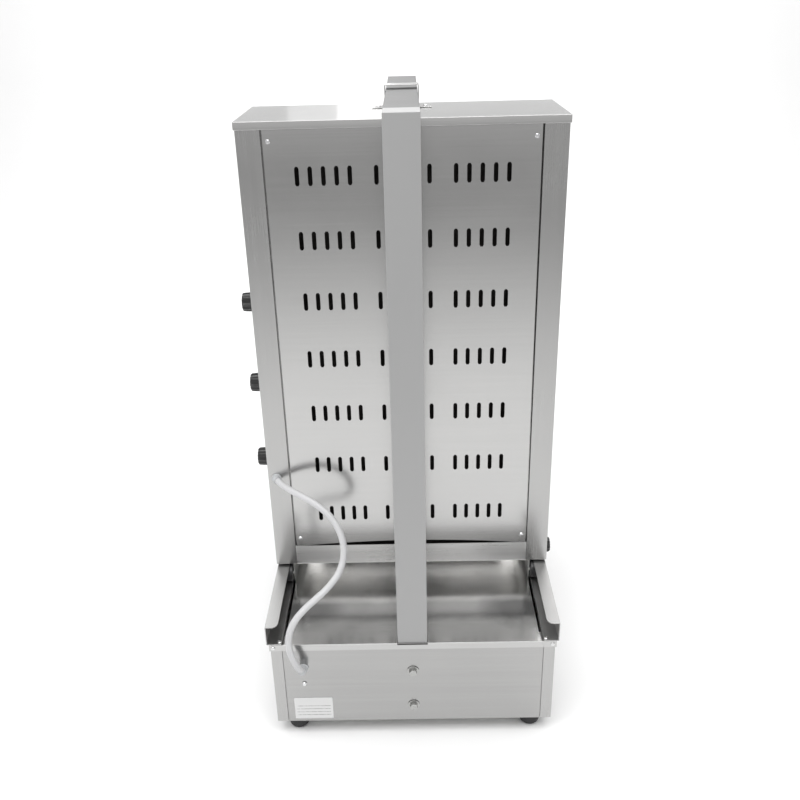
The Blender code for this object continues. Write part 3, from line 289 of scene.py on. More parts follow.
@dataclass(frozen=True)
class BrushedSteel:
    """Stainless sheet with brush lines along one axis, handling marks and a slight waviness."""

    tone: float = 0.60
    roughness: float = 0.26
    grain: Axis = Axis.Z
    line_tone: float = 0.05
    line_rough: float = 0.10
    line_bump: float = 0.05
    smudge: float = 0.06
    wave: float = 0.0

    def material(self, name: str) -> bpy.types.Material:
        """Build the finish.

        Args:
            name: The material's name.

        Returns:
            The material.
        """
        graph = Graph(name)
        fine = graph.noise(self._along(5.0, 1500.0), 2.0, 0.6)
        broad = graph.noise(self._along(1.6, 160.0), 3.0, 0.6)
        cloud = graph.noise((6.0, 6.0, 6.0), 4.0, 0.6)
        lines = fine * 0.6 + broad * 0.4
        marks = cloud.within(0.35, 0.75)
        low = self.tone * (1.0 - self.line_tone)
        high = self.tone * (1.0 + self.line_tone)
        tint = (1.0, 0.995, 0.985)
        colour = graph.blend(
            lines.within(0.3, 0.7), [low * part for part in tint], [high * part for part in tint]
        )
        # Painted shade: where the hook gives a mask, the colour is blended down towards 0.28 of the
        # tone.
        shade = self.stain_and_painted_shade(graph)
        if shade is not None:
            colour = graph.blend(shade, colour, (self.tone * 0.28,) * 3)
        rough = (lines - 0.5) * self.line_rough + marks * self.smudge + self.roughness
        normal = graph.bump(lines, self.line_bump, 0.0004)
        if self.wave:
            sag = graph.noise((3.1, 3.1, 2.3), 1.0, 0.4)
            bend = graph.node(
                "ShaderNodeBump", {},
                {"Strength": self.wave, "Distance": 0.01, "Height": sag, "Normal": normal},
            )
            normal = Term(graph, bend.outputs["Normal"])
        return graph.dress(Base_Color=colour, Metallic=1.0, Roughness=rough, Normal=normal)

    def stain_and_painted_shade(self, graph: Graph) -> Term | None:
        """Give where the sheet is painted darker, as painted shade or an even darkening, or nothing
        where it is plain.
        """
        return None

    def _along(self, along: float, across: float) -> tuple[float, float, float]:
        """Give noise scales that draw the features out along the grain."""
        scale = [across, across, across]
        scale[self.grain.value] = along
        return tuple(scale)


@dataclass(frozen=True)
class ShadePaintedDeck(BrushedSteel):
    """Brushed sheet with painted shade behind the tower, standing in for the shadow and dark
    reflection on the deck there.
    """

    band_y: float = 0.236
    band_half: float = 0.030
    patch_x: float = 0.186
    patch_reach: float = 0.075
    lip_y: float = 0.3242
    lip_darkening: float = 0.30

    def stain_and_painted_shade(self, graph: Graph) -> Term:
        """Give the painted shade, a band across the deck and a darker patch beside each slot, with the
        lip evenly darkened.
        """
        spot = graph.node("ShaderNodeSeparateXYZ", {}, {"Vector": graph.place((1, 1, 1))})
        side, back = Term(graph, spot.outputs["X"]), Term(graph, spot.outputs["Y"])
        # Painted shade: the band and the patches, broken up by noise, stand in for the shadow and dark
        # reflection on the deck.
        cloud = graph.noise((22.0, 30.0, 1.0), 3.0, 0.6) - 0.5
        speck = graph.noise((900.0, 900.0, 1.0), 2.0, 0.8)
        off_band = abs(back - self.band_y + cloud * 0.02)
        band = 1.0 - off_band.within(self.band_half * 0.55, self.band_half * 1.15)
        reach = (abs(side) - self.patch_x) ** 2.0 + (back - self.band_y) ** 2.0 * 1.6
        patch = 1.0 - (reach + cloud * 0.002).within(0.0002, self.patch_reach ** 2)
        deck_shade_mask = (band * 0.55 + patch * 0.5).within(0.0, 1.0) * (speck * 0.3 + 0.85)
        lip = back > self.lip_y
        return deck_shade_mask * (1.0 - lip) + lip * self.lip_darkening


@dataclass(frozen=True)
class SatinTube:
    """Tube with a blasted satin finish, which hardly mirrors what it faces."""

    tone: float = 0.36
    roughness: float = 0.50
    metallic: float = 0.55

    def material(self, name: str) -> bpy.types.Material:
        """Build the finish under a name."""
        graph = Graph(name)
        grit = graph.noise((1400.0, 1400.0, 300.0), 2.0, 0.6)
        cloud = graph.noise((9.0, 9.0, 4.0), 3.0, 0.6)
        low, high = self.tone * 0.95, self.tone * 1.03
        colour = graph.blend(cloud * 0.5 + grit * 0.5, (low,) * 3, (high,) * 3)
        rough = (cloud - 0.5) * 0.10 + (grit - 0.5) * 0.12 + self.roughness
        return graph.dress(
            Base_Color=colour, Metallic=self.metallic, Roughness=rough,
            Normal=graph.bump(grit, 0.06, 0.0003),
        )


@dataclass(frozen=True)
class PlainMetal:
    """Smooth or plated metal with fine pitting and faint stains."""

    colour: tuple[float, float, float] = (0.66, 0.66, 0.64)
    roughness: float = 0.30
    stain_and_painted_shade: float = 0.10
    pit: float = 0.04
    scale: float = 240.0

    def material(self, name: str) -> bpy.types.Material:
        """Build the finish under a name."""
        graph = Graph(name)
        speck = graph.noise((self.scale,) * 3, 3.0, 0.7)
        cloud = graph.noise((14.0, 14.0, 14.0), 3.0, 0.6)
        dark = [part * (1.0 - self.stain_and_painted_shade) for part in self.colour]
        colour = graph.blend(cloud.within(0.3, 0.7), dark, self.colour)
        rough = (cloud - 0.5) * 0.12 + (speck - 0.5) * 0.08 + self.roughness
        normal = graph.bump(speck, self.pit, 0.0003)
        return graph.dress(Base_Color=colour, Metallic=1.0, Roughness=rough, Normal=normal)


@dataclass(frozen=True)
class Moulded:
    """Moulded plastic or rubber with a spark-eroded grain and dust in its hollows."""

    colour: tuple[float, float, float] = (0.018, 0.018, 0.019)
    roughness: float = 0.38
    grain: float = 0.10
    grain_scale: float = 1800.0
    dust: float = 0.06

    def material(self, name: str) -> bpy.types.Material:
        """Build the finish under a name."""
        graph = Graph(name)
        pores = graph.noise((self.grain_scale,) * 3, 1.0, 0.5)
        cloud = graph.noise((40.0, 40.0, 40.0), 3.0, 0.6)
        light = [part + self.dust * (0.25 + part) for part in self.colour]
        colour = graph.blend(cloud.within(0.4, 0.85), self.colour, light)
        rough = (cloud - 0.5) * 0.15 + (pores - 0.5) * 0.10 + self.roughness
        normal = graph.bump(pores, self.grain, 0.0002)
        return graph.dress(Base_Color=colour, Roughness=rough, Normal=normal)


@dataclass(frozen=True)
class HeatTinted:
    """An element's sheath: dark oxide with straw and blue bands where it runs hottest."""

    band: float = 22.0

    def material(self, name: str) -> bpy.types.Material:
        """Build the finish under a name."""
        graph = Graph(name)
        bands = graph.noise((self.band, self.band, self.band), 3.0, 0.6)
        stops = [
            (0.30, (0.10, 0.09, 0.085)), (0.48, (0.17, 0.13, 0.09)),
            (0.60, (0.12, 0.12, 0.14)), (0.75, (0.20, 0.18, 0.16)),
        ]
        ramp = graph.node("ShaderNodeValToRGB", {"stops": stops}, {"Fac": bands})
        scale = graph.noise((600.0, 600.0, 600.0), 2.0, 0.7)
        return graph.dress(
            Base_Color=Term(graph, ramp.outputs["Color"]), Metallic=0.85,
            Roughness=scale * 0.3 + 0.36, Normal=graph.bump(scale, 0.15, 0.0003),
        )


@dataclass(frozen=True)
class BraidedSleeve:
    """A woven sleeve round a hose, read from the hose's own UV map."""

    colour: tuple[float, float, float] = (0.62, 0.62, 0.63)
    turns_along: float = 150.0
    strands: float = 10.0

    def material(self, name: str) -> bpy.types.Material:
        """Build the finish under a name."""
        graph = Graph(name)
        uv = Term(graph, graph.node("ShaderNodeUVMap", {"uv_map": "UVMap"}, {}).outputs["UV"])
        parts = graph.node("ShaderNodeSeparateXYZ", {}, {"Vector": uv})
        along = Term(graph, parts.outputs["X"]) * (self.turns_along * math.tau)
        around = Term(graph, parts.outputs["Y"]) * (self.strands * math.tau)
        weave = abs((along + around).wave()) * abs((along - around).wave())
        dirt = graph.noise((70.0, 70.0, 70.0), 3.0, 0.6)
        shade = (weave.within(0.0, 0.5) * 0.7 + 0.3) * (dirt * 0.2 + 0.8)
        dark = [part * 0.66 for part in self.colour]
        return graph.dress(
            Base_Color=graph.blend(shade, dark, self.colour), Metallic=0.1,
            Roughness=0.36 - weave * 0.12, Normal=graph.bump(weave, 0.5, 0.0003),
        )


@dataclass(frozen=True)
class MineralWool:
    """Dark fibre board."""

    colour: tuple[float, float, float] = (0.025, 0.023, 0.021)

    def material(self, name: str) -> bpy.types.Material:
        """Build the finish under a name."""
        graph = Graph(name)
        fibre = graph.noise((500.0, 900.0, 160.0), 3.0, 0.7)
        light = [part * 1.8 for part in self.colour]
        return graph.dress(
            Base_Color=graph.blend(fibre, self.colour, light), Roughness=fibre * 0.1 + 0.85,
            Normal=graph.bump(fibre, 0.6, 0.001),
        )


@dataclass(frozen=True)
class PrintedFoil:
    """A silvered sticker with plain ruled lines and no words."""

    low: tuple[float, float]
    high: tuple[float, float]
    rows: int = 7

    def material(self, name: str) -> bpy.types.Material:
        """Build the finish under a name."""
        graph = Graph(name)
        width, height = (b - a for a, b in zip(self.low, self.high))
        offset = (self.low[0], 0.0, self.low[1])
        spot = graph.place((1.0 / width, 1.0, 1.0 / height), offset)
        parts = graph.node("ShaderNodeSeparateXYZ", {}, {"Vector": spot})
        across, up = Term(graph, parts.outputs["X"]), Term(graph, parts.outputs["Z"])
        line = (up * (self.rows * math.tau)).wave() > 0.86
        dash = graph.noise((900.0, 1.0, 100.0), 1.0, 0.5) > 0.42
        inside = (across > 0.06) * (1.0 - (across > 0.94)) * (up > 0.06) * (1.0 - (up > 0.66))
        ink = line * dash * inside
        colour = graph.blend(ink, (0.66, 0.66, 0.66), (0.24, 0.24, 0.24))
        cloud = graph.noise((60.0, 60.0, 60.0), 2.0, 0.5)
        return graph.dress(
            Base_Color=colour, Metallic=0.25, Roughness=cloud * 0.15 + 0.32,
            Normal=graph.bump(cloud, 0.05, 0.0003),
        )


@dataclass(frozen=True)
class StudioPaper:
    """The pale floor and backdrop, graded darker towards the far rear as painted shade where the
    lamps' light falls off.
    """

    tone: float = 0.86
    far_tone: float = 0.42
    near_y: float = 1.3
    far_y: float = 4.4

    def material(self, name: str) -> bpy.types.Material:
        """Build the finish under a name."""
        graph = Graph(name)
        place = graph.node("ShaderNodeSeparateXYZ", {}, {"Vector": graph.place((1, 1, 1))})
        # Painted shade: the floor's tone falls from tone to far_tone between near_y and far_y.
        grade = Term(graph, place.outputs["Y"]).within(self.near_y, self.far_y)
        cloud = graph.noise((1.5, 1.5, 1.5), 2.0, 0.5)
        colour = graph.blend(grade + (cloud - 0.5) * 0.02, (self.tone,) * 3, (self.far_tone,) * 3)
        return graph.dress(Base_Color=colour, Roughness=0.75)


# Mesh work ------------------------------------------------------------------------------------


class Bench:
    """Turns finished bmeshes into pieces that ride on a body of the frame."""

    @staticmethod
    def put(
        name: str,
        bm: bmesh.types.BMesh,
        material: bpy.types.Material,
        body: str,
        slot: Slot,
        replaces: Iterable[str] = (),
        sharp: float = 35.0,
    ) -> None:
        """Make a piece from a bmesh.

        Args:
            name: The piece's name.
            bm: Its shape, which is freed.
            material: Its finish.
            body: The body that it moves with.
            slot: The record's slot for its finish; not used.
            replaces: The CAD nodes that it stands for.
            sharp: The angle in degrees above which an edge stays sharp.
        """
        mesh = bpy.data.meshes.new(name)
        bm.to_mesh(mesh)
        bm.free()
        mesh.materials.append(material)
        mesh.shade_smooth()
        mesh.set_sharp_from_angle(angle=math.radians(sharp))
        piece = bpy.data.objects.new(name, mesh)
        bpy.context.scene.collection.objects.link(piece)
        weighted = piece.modifiers.new("even_normals", "WEIGHTED_NORMAL")
        weighted.keep_sharp = True
        weighted.weight = 80
        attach(piece, body)
        if replaces:
            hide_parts(*replaces)
        LOG.info("%s: %d faces on %s", name, len(mesh.polygons), body)

    @staticmethod
    def welded_copy(node: bpy.types.Object) -> bmesh.types.BMesh:
        """Give a CAD node's shape with its triangles joined and its flat faces whole."""
        bm = bmesh.new()
        bm.from_mesh(node.data)
        bmesh.ops.remove_doubles(bm, verts=bm.verts, dist=0.000005)
        bmesh.ops.dissolve_limit(
            bm, angle_limit=math.radians(0.5), use_dissolve_boundaries=False,
            verts=bm.verts, edges=bm.edges, delimit=set(),
        )
        bm.normal_update()
        return bm

    @staticmethod
    def face_depth(face: bmesh.types.BMFace, edge: bmesh.types.BMEdge) -> float:
        """Give how far a face reaches from one of its edges."""
        start = edge.verts[0].co
        run = (edge.verts[1].co - start).normalized()
        return max(((v.co - start) - (v.co - start).dot(run) * run).length for v in face.verts)

    @classmethod
    def round_folds(cls, bm: bmesh.types.BMesh, radius: float, depth: float, segments: int) -> int:
        """Round the outward folds of a sheet or block.

        Args:
            bm: The shape.
            radius: The fold's outer radius.
            depth: The least depth of the faces on both sides of a fold.
            segments: The number of facets of a fold.

        Returns:
            The number of rounded edges.
        """
        folds = [
            edge for edge in bm.edges
            if len(edge.link_faces) == 2 and edge.is_convex
            and edge.calc_face_angle(0.0) > math.radians(40)
            and edge.calc_length() > depth
            and all(cls.face_depth(face, edge) > depth for face in edge.link_faces)
        ]
        bmesh.ops.bevel(
            bm, geom=folds, offset=radius, offset_type="OFFSET", segments=segments,
            profile=0.5, affect="EDGES", material=-1, clamp_overlap=True,
        )
        return len(folds)

    @staticmethod
    def rod(
        bm: bmesh.types.BMesh, start: Vector, end: Vector, radius: float, segments: int
    ) -> None:
        """Add a straight round bar between two points."""
        run = end - start
        turn = Vector((0, 0, 1)).rotation_difference(run).to_matrix().to_4x4()
        where = Matrix.Translation((start + end) / 2) @ turn
        bmesh.ops.create_cone(
            bm, cap_ends=True, segments=segments, radius1=radius, radius2=radius,
            depth=run.length, matrix=where,
        )

    @staticmethod
    def turned(
        profile: Sequence[tuple[float, float]], axis: Vector, centre: Vector, segments: int
    ) -> bmesh.types.BMesh:
        """Turn a profile of (radius, height) points about an axis.

        Args:
            profile: The points from one end of the axis to the other.
            axis: The direction of the height.
            centre: The point of height 0.
            segments: The number of facets round the piece.

        Returns:
            The closed shape.
        """
        bm = bmesh.new()
        verts = [bm.verts.new((radius, 0.0, height)) for radius, height in profile]
        edges = [bm.edges.new(pair) for pair in zip(verts, verts[1:])]
        bmesh.ops.spin(
            bm, geom=[*verts, *edges], cent=(0, 0, 0), axis=(0, 0, 1), angle=math.tau,
            steps=segments, use_merge=True,
        )
        bmesh.ops.remove_doubles(bm, verts=bm.verts, dist=0.00001)
        turn = Vector((0, 0, 1)).rotation_difference(axis).to_matrix().to_4x4()
        bmesh.ops.transform(bm, matrix=Matrix.Translation(centre) @ turn, verts=bm.verts)
        bmesh.ops.recalc_face_normals(bm, faces=bm.faces)
        return bm

    @staticmethod
    def merge(target: bmesh.types.BMesh, other: bmesh.types.BMesh) -> None:
        """Add another shape to a bmesh and free it."""
        mesh = bpy.data.meshes.new("part")
        other.to_mesh(mesh)
        other.free()
        target.from_mesh(mesh)
        bpy.data.meshes.remove(mesh)


def smooth_route(route: Sequence[Sequence[float]], step: float) -> list[Vector]:
    """Read points about one step apart from a smooth curve through a route.

    Args:
        route: The points that the curve passes through.
        step: The wanted distance between the points given back.

    Returns:
        The points, with the route's first and last.
    """
    points = [Vector(point) for point in route]
    padded = [2 * points[0] - points[1], *points, 2 * points[-1] - points[-2]]
    dense = [points[0]]
    for before, start, end, after in zip(padded, padded[1:], padded[2:], padded[3:]):
        for part in range(1, 13):
            t = part / 12
            dense.append(0.5 * (
                2 * start + (end - before) * t
                + (2 * before - 5 * start + 4 * end - after) * t ** 2
                + (3 * start - before - 3 * end + after) * t ** 3
            ))
    lengths = [0.0]
    for start, end in zip(dense, dense[1:]):
        lengths.append(lengths[-1] + (end - start).length)
    count = max(2, round(lengths[-1] / step))
    picked = [dense[0]]
    index = 0
    for number in range(1, count):
        wanted = lengths[-1] * number / count
        while lengths[index + 1] < wanted:
            index += 1
        share = (wanted - lengths[index]) / (lengths[index + 1] - lengths[index])
        picked.append(dense[index].lerp(dense[index + 1], share))
    return [*picked, dense[-1]]


def route_length(points: Sequence[Vector]) -> float:
    """Give the length of a route."""
    return sum((end - start).length for start, end in zip(points, points[1:]))


def tube_mesh(name: str, points: Sequence[Vector], radius: float, sides: int) -> bpy.types.Mesh:
    """Sweep a round tube along points, with a UV map that follows it.

    Args:
        name: The mesh's name.
        points: The centreline.
        radius: The tube's radius.
        sides: The number of facets round the tube.

    Returns:
        The mesh.
    """
    curve = bpy.data.curves.new(name, "CURVE")
    curve.dimensions = "3D"
    curve.bevel_depth = radius
    curve.bevel_resolution = sides // 4
    curve.use_fill_caps = True
    spline = curve.splines.new("POLY")
    spline.points.add(len(points) - 1)
    for slot, point in zip(spline.points, points):
        slot.co = (*point, 1.0)
    spline.use_smooth = True
    holder = bpy.data.objects.new(name, curve)
    mesh = bpy.data.meshes.new_from_object(holder)
    bpy.data.objects.remove(holder)
    bpy.data.curves.remove(curve)
    bm = bmesh.new()
    bm.from_mesh(mesh)
    bmesh.ops.remove_doubles(bm, verts=bm.verts, dist=0.00001)
    bmesh.ops.recalc_face_normals(bm, faces=bm.faces)
    bm.to_mesh(mesh)
    bm.free()
    return mesh


# Studio ---------------------------------------------------------------------------------------


@dataclass
class Studio:
    """The camera, the lights, the floor and the backdrop."""

    place: tuple[float, float, float] = (-0.0069, 1.4939, 1.196)
    pitch: float = 0.4353
    yaw: float = -0.0149
    roll: float = -0.0256
    lens: float = 39.61
    floor_half: float = 7.0
    sweep_y: float = -3.4
    sweep_radius: float = 1.2
    sweep_top: float = 1.32
    room: float = 0.70

    def build(self) -> None:
        """Set the whole studio up."""
        self.set_camera()
        self.lay_floor()
        self.hang_lights()
        self.tint_room()

    def set_camera(self) -> None:
        """Aim the camera at the machine's back from a little above it."""
        ahead = Vector((-math.sin(self.yaw), -math.cos(self.yaw), 0))
        right = Vector((-math.cos(self.yaw), math.sin(self.yaw), 0))
        up = Vector((0, 0, 1))
        view = ahead * math.cos(self.pitch) - up * math.sin(self.pitch)
        top = up * math.cos(self.pitch) + ahead * math.sin(self.pitch)
        side = right * math.cos(self.roll) + top * math.sin(self.roll)
        crown = top * math.cos(self.roll) - right * math.sin(self.roll)
        data = bpy.data.cameras.new("camera")
        data.lens = self.lens
        data.sensor_width = 36.0
        camera = bpy.data.objects.new("camera", data)
        frame = Matrix((side, crown, -view)).transposed().to_4x4()
        camera.matrix_world = Matrix.Translation(self.place) @ frame
        bpy.context.scene.collection.objects.link(camera)
        bpy.context.scene.camera = camera

    def lay_floor(self) -> None:
        """Lay the floor and curve it up into a backdrop in front of the machine."""
        bm = bmesh.new()
        half = self.floor_half
        start = bm.verts.new((-half, half, 0.0))
        knee = bm.verts.new((-half, self.sweep_y, 0.0))
        bm.edges.new((start, knee))
        bmesh.ops.spin(
            bm, geom=[knee], cent=(-half, self.sweep_y, self.sweep_radius), axis=(1, 0, 0),
            angle=-math.pi / 2, steps=12, use_merge=False,
        )
        top = min(bm.verts, key=lambda v: v.co.y)
        bm.edges.new((top, bm.verts.new((-half, top.co.y, self.sweep_top))))
        edges = list(bm.edges)
        ring = bmesh.ops.extrude_edge_only(bm, edges=edges)
        moved = [part for part in ring["geom"] if isinstance(part, bmesh.types.BMVert)]
        bmesh.ops.translate(bm, vec=(2 * half, 0, 0), verts=moved)
        bmesh.ops.recalc_face_normals(bm, faces=bm.faces)
        mesh = bpy.data.meshes.new("studio_floor")
        bm.to_mesh(mesh)
        bm.free()
        mesh.shade_smooth()
        mesh.set_sharp_from_angle(angle=math.radians(30))
        mesh.materials.append(StudioPaper().material("studio_paper"))
        floor = bpy.data.objects.new("studio_floor", mesh)
        bpy.context.scene.collection.objects.link(floor)

    def hang_lights(self) -> None:
        """Hang the softboxes, each with its power worked out from its brightness."""
        self._softbox("rear_overhead", (0.0, 1.15, 2.5), (0.0, 1.05, 0.0), (2.6, 1.5), 3.7)
        self._softbox("front_high", (0.0, -2.7, 2.75), (0.0, 0.0, 0.4), (3.6, 1.4), 2.8)
        self._softbox("front_left", (0.30, -2.8, 1.62), (0.30, 0.0, 1.4), (0.50, 0.6), 0.28)
        self._softbox("front_accent", (0.18, -2.79, 1.62), (0.18, 0.0, 1.4), (0.26, 0.6), 1.0)
        self._softbox("backdrop", (0.0, -2.2, 3.3), (0.0, -4.6, 1.0), (4.5, 0.8), 7.0)
        self._softbox("key", (1.9, 1.9, 2.3), (0.0, 0.1, 0.5), (0.9, 0.9), 4.0)
        self._softbox("fill_left", (-3.0, -0.3, 1.5), (0.0, 0.0, 0.5), (1.4, 2.2), 1.2)
        self._softbox("fill_right", (3.0, -0.3, 1.5), (0.0, 0.0, 0.5), (1.4, 2.2), 1.2)

    @staticmethod
    def _softbox(
        name: str,
        place: Sequence[float],
        target: Sequence[float],
        size: tuple[float, float],
        radiance: float,
    ) -> None:
        """Hang one rectangular light and aim it.

        Args:
            name: The light's name.
            place: Its centre.
            target: The point that it faces.
            size: Its width and height.
            radiance: Its brightness, where 1 is paper white.
        """
        data = bpy.data.lights.new(name, "AREA")
        data.shape = "RECTANGLE"
        data.size, data.size_y = size
        data.energy = radiance * math.pi * size[0] * size[1]
        light = bpy.data.objects.new(name, data)
        aim = (Vector(target) - Vector(place)).to_track_quat("-Z", "Y")
        light.matrix_world = Matrix.Translation(place) @ aim.to_matrix().to_4x4()
        bpy.context.scene.collection.objects.link(light)

    def tint_room(self) -> None:
        """Give the room beyond the floor an even grey, and show colours as they are."""
        world = bpy.data.worlds.new("room")
        world.use_nodes = True
        background = world.node_tree.nodes["Background"]
        background.inputs["Color"].default_value = (1.0, 1.0, 1.0, 1.0)
        background.inputs["Strength"].default_value = self.room
        bpy.context.scene.world = world
        bpy.context.scene.view_settings.view_transform = "Standard"


# Sub-assemblies -------------------------------------------------------------------------------


@dataclass
class Hose:
    """The sleeved hose that carries the tower's wiring down into the base."""

    nodes: Mapping[str, bpy.types.Object]
    radius: float = 0.0058
    step: float = 0.008
    route: tuple[tuple[float, float, float], ...] = (
        (0.2303, 0.1590, 0.4240),
        (0.2164, 0.1767, 0.4226),
        (0.1998, 0.1922, 0.4213),
        (0.1815, 0.2056, 0.4186),
        (0.1627, 0.2172, 0.4130),
        (0.1446, 0.2272, 0.4037),
        (0.1293, 0.2363, 0.3899),
        (0.1185, 0.2453, 0.3724),
        (0.1129, 0.2550, 0.3528),
        (0.1133, 0.2657, 0.3329),
        (0.1204, 0.2778, 0.3153),
        (0.1283, 0.2863, 0.3055),
        (0.1431, 0.2992, 0.2938),
        (0.1598, 0.3115, 0.2841),
        (0.1768, 0.3230, 0.2738),
        (0.1918, 0.3333, 0.2601),
        (0.2018, 0.3415, 0.2418),
        (0.2046, 0.3468, 0.2203),
        (0.2014, 0.3487, 0.1985),
        (0.1956, 0.3465, 0.1775),
        (0.1890, 0.3402, 0.1590),
    )

    def build(self) -> None:
        """Sweep the hose along its route."""
        points = smooth_route(self.route, self.step)
        mesh = tube_mesh("conduit_hose", points, self.radius, 16)
        mesh.materials.clear()
        mesh.materials.append(BraidedSleeve().material("braided_sleeve"))
        mesh.shade_smooth()
        mesh.set_sharp_from_angle(angle=math.radians(50))
        piece = bpy.data.objects.new("conduit_hose", mesh)
        bpy.context.scene.collection.objects.link(piece)
        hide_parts("conduit")
        route_length(points)
        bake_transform(piece)
        LOG.info("conduit_hose: %.3f m long", route_length(points))


@dataclass
class Sheetwork:
    """The folded sheet and tube parts, rebuilt with their bend radii."""

    nodes: Mapping[str, bpy.types.Object]
    fold: float = 0.0011
    least_depth: float = 0.0028

    def build(self) -> None:
        """Dress every sheet part."""
        upright = BrushedSteel(tone=0.45, grain=Axis.Z, roughness=0.24).material("upright_brushed")
        panel = BrushedSteel(
            tone=0.51, grain=Axis.X, roughness=0.17, line_rough=0.05, line_bump=0.02, smudge=0.05,
            wave=0.05,
        ).material("panel_sheet")
        back = BrushedSteel(
            tone=0.42, grain=Axis.X, roughness=0.22, line_rough=0.06, line_bump=0.03, smudge=0.06,
        ).material("base_back_sheet")
        level = BrushedSteel(grain=Axis.X, roughness=0.12, smudge=0.05).material("level_brushed")
        # The deck carries painted shade behind the tower.
        deck = ShadePaintedDeck(
            tone=0.66, grain=Axis.X, roughness=0.15, line_rough=0.06, smudge=0.06,
        ).material("deck_brushed")
        # Painted light: the tower floor's underside takes a much lighter tone, 0.90, standing in for
        # light bounced into the gap above the deck.
        under = BrushedSteel(
            tone=0.90, grain=Axis.X, roughness=0.27, smudge=0.05,
        ).material("floor_brushed_painted_light")
        lengthways = BrushedSteel(
            tone=0.40, grain=Axis.Y, roughness=0.40,
        ).material("lengthways_brushed")
        tube = SatinTube(tone=0.375).material("column_satin")
        arm = SatinTube(tone=0.13).material("arm_satin")
        zinc = PlainMetal().material("zinc_plate")
        bright = PlainMetal(colour=(0.70, 0.70, 0.70), roughness=0.16).material("bright_sheet")
        plans = {
            "base_shell": ("base", upright, Slot.BRUSHED, self.fold),
            "base_rear_panel": ("base", back, Slot.BRUSHED, self.fold),
            "deck_plate": ("base", deck, Slot.BRUSHED, self.fold),
            "rail_left": ("base", lengthways, Slot.BRUSHED, self.fold),
            "rail_right": ("base", lengthways, Slot.BRUSHED, self.fold),
            "column": ("base", tube, Slot.BRUSHED, 0.0020),
            "top_arm": ("base", arm, Slot.BRUSHED, 0.0014),
            "motor_bracket": ("base", zinc, Slot.ZINC, self.fold),
            "base_bottom_plate": ("base", zinc, Slot.ZINC, 0.0003),
            "drip_tray": ("base", bright, Slot.BRIGHT, 0.0009),
            "tower_side_left": ("tower", upright, Slot.BRUSHED, self.fold),
            "tower_side_right": ("tower", upright, Slot.BRUSHED, self.fold),
            "tower_top_cover": ("tower", level, Slot.BRUSHED, self.fold),
            "tower_rear_panel": ("tower", panel, Slot.BRUSHED, self.fold),
            "tower_floor": ("tower", under, Slot.BRUSHED, self.fold),
            "tower_reflector": ("tower", bright, Slot.BRIGHT, 0.0003),
            "guide_strap": ("tower", upright, Slot.BRUSHED, self.fold),
            "keel_left": ("tower", zinc, Slot.ZINC, 0.0005),
            "keel_right": ("tower", zinc, Slot.ZINC, 0.0005),
        }
        for node, (body, finish, slot, radius) in plans.items():
            bm = Bench.welded_copy(self.nodes[node])
            count = Bench.round_folds(bm, radius, self.least_depth, 3)
            Bench.put(f"{node}_folded", bm, finish, body, slot, [node])
            LOG.info("%s: %d rounded folds", node, count)


@dataclass
class CarriedNodes:
    """The CAD nodes that are shown as they are, each under its own finish."""

    nodes: Mapping[str, bpy.types.Object]

    def build(self) -> None:
        """Give each carried node its finish."""
        fastener = PlainMetal(colour=(0.74, 0.74, 0.75), roughness=0.2).material("plated_screw")
        bright = PlainMetal(colour=(0.72, 0.72, 0.72), roughness=0.18).material("turned_steel")
        black = Moulded().material("black_moulding")
        grey = Moulded(colour=(0.45, 0.46, 0.47), roughness=0.45, dust=0.04).material("grey_moulding")
        rubber = Moulded(roughness=0.7, grain=0.3, grain_scale=700.0).material("foot_rubber")
        can = Moulded(colour=(0.05, 0.05, 0.055), roughness=0.35).material("motor_paint")
        red = Moulded(colour=(0.50, 0.015, 0.015), roughness=0.25, dust=0.0).material("red_rocker")
        groups = {
            "panel_screw": fastener, "earth_screw": fastener, "top_bush": bright,
            "drive_shaft": bright, "spit": bright, "foot": rubber, "roller": black,
            "arm_end_cap": black, "motor_switch_housing": black, "mains_gland": black,
            "motor_switch_rocker": red, "drive_motor": can, "gearbox": grey,
            "zone_regulator": grey, "conduit_g": grey,
        }
        for name, node in self.nodes.items():
            if node.hide_render:
                continue
            for start, material in groups.items():
                if name.startswith(start):
                    for place in node.material_slots:
                        place.material = material
                    break
            else:
                LOG.warning("%s keeps its plain finish", name)


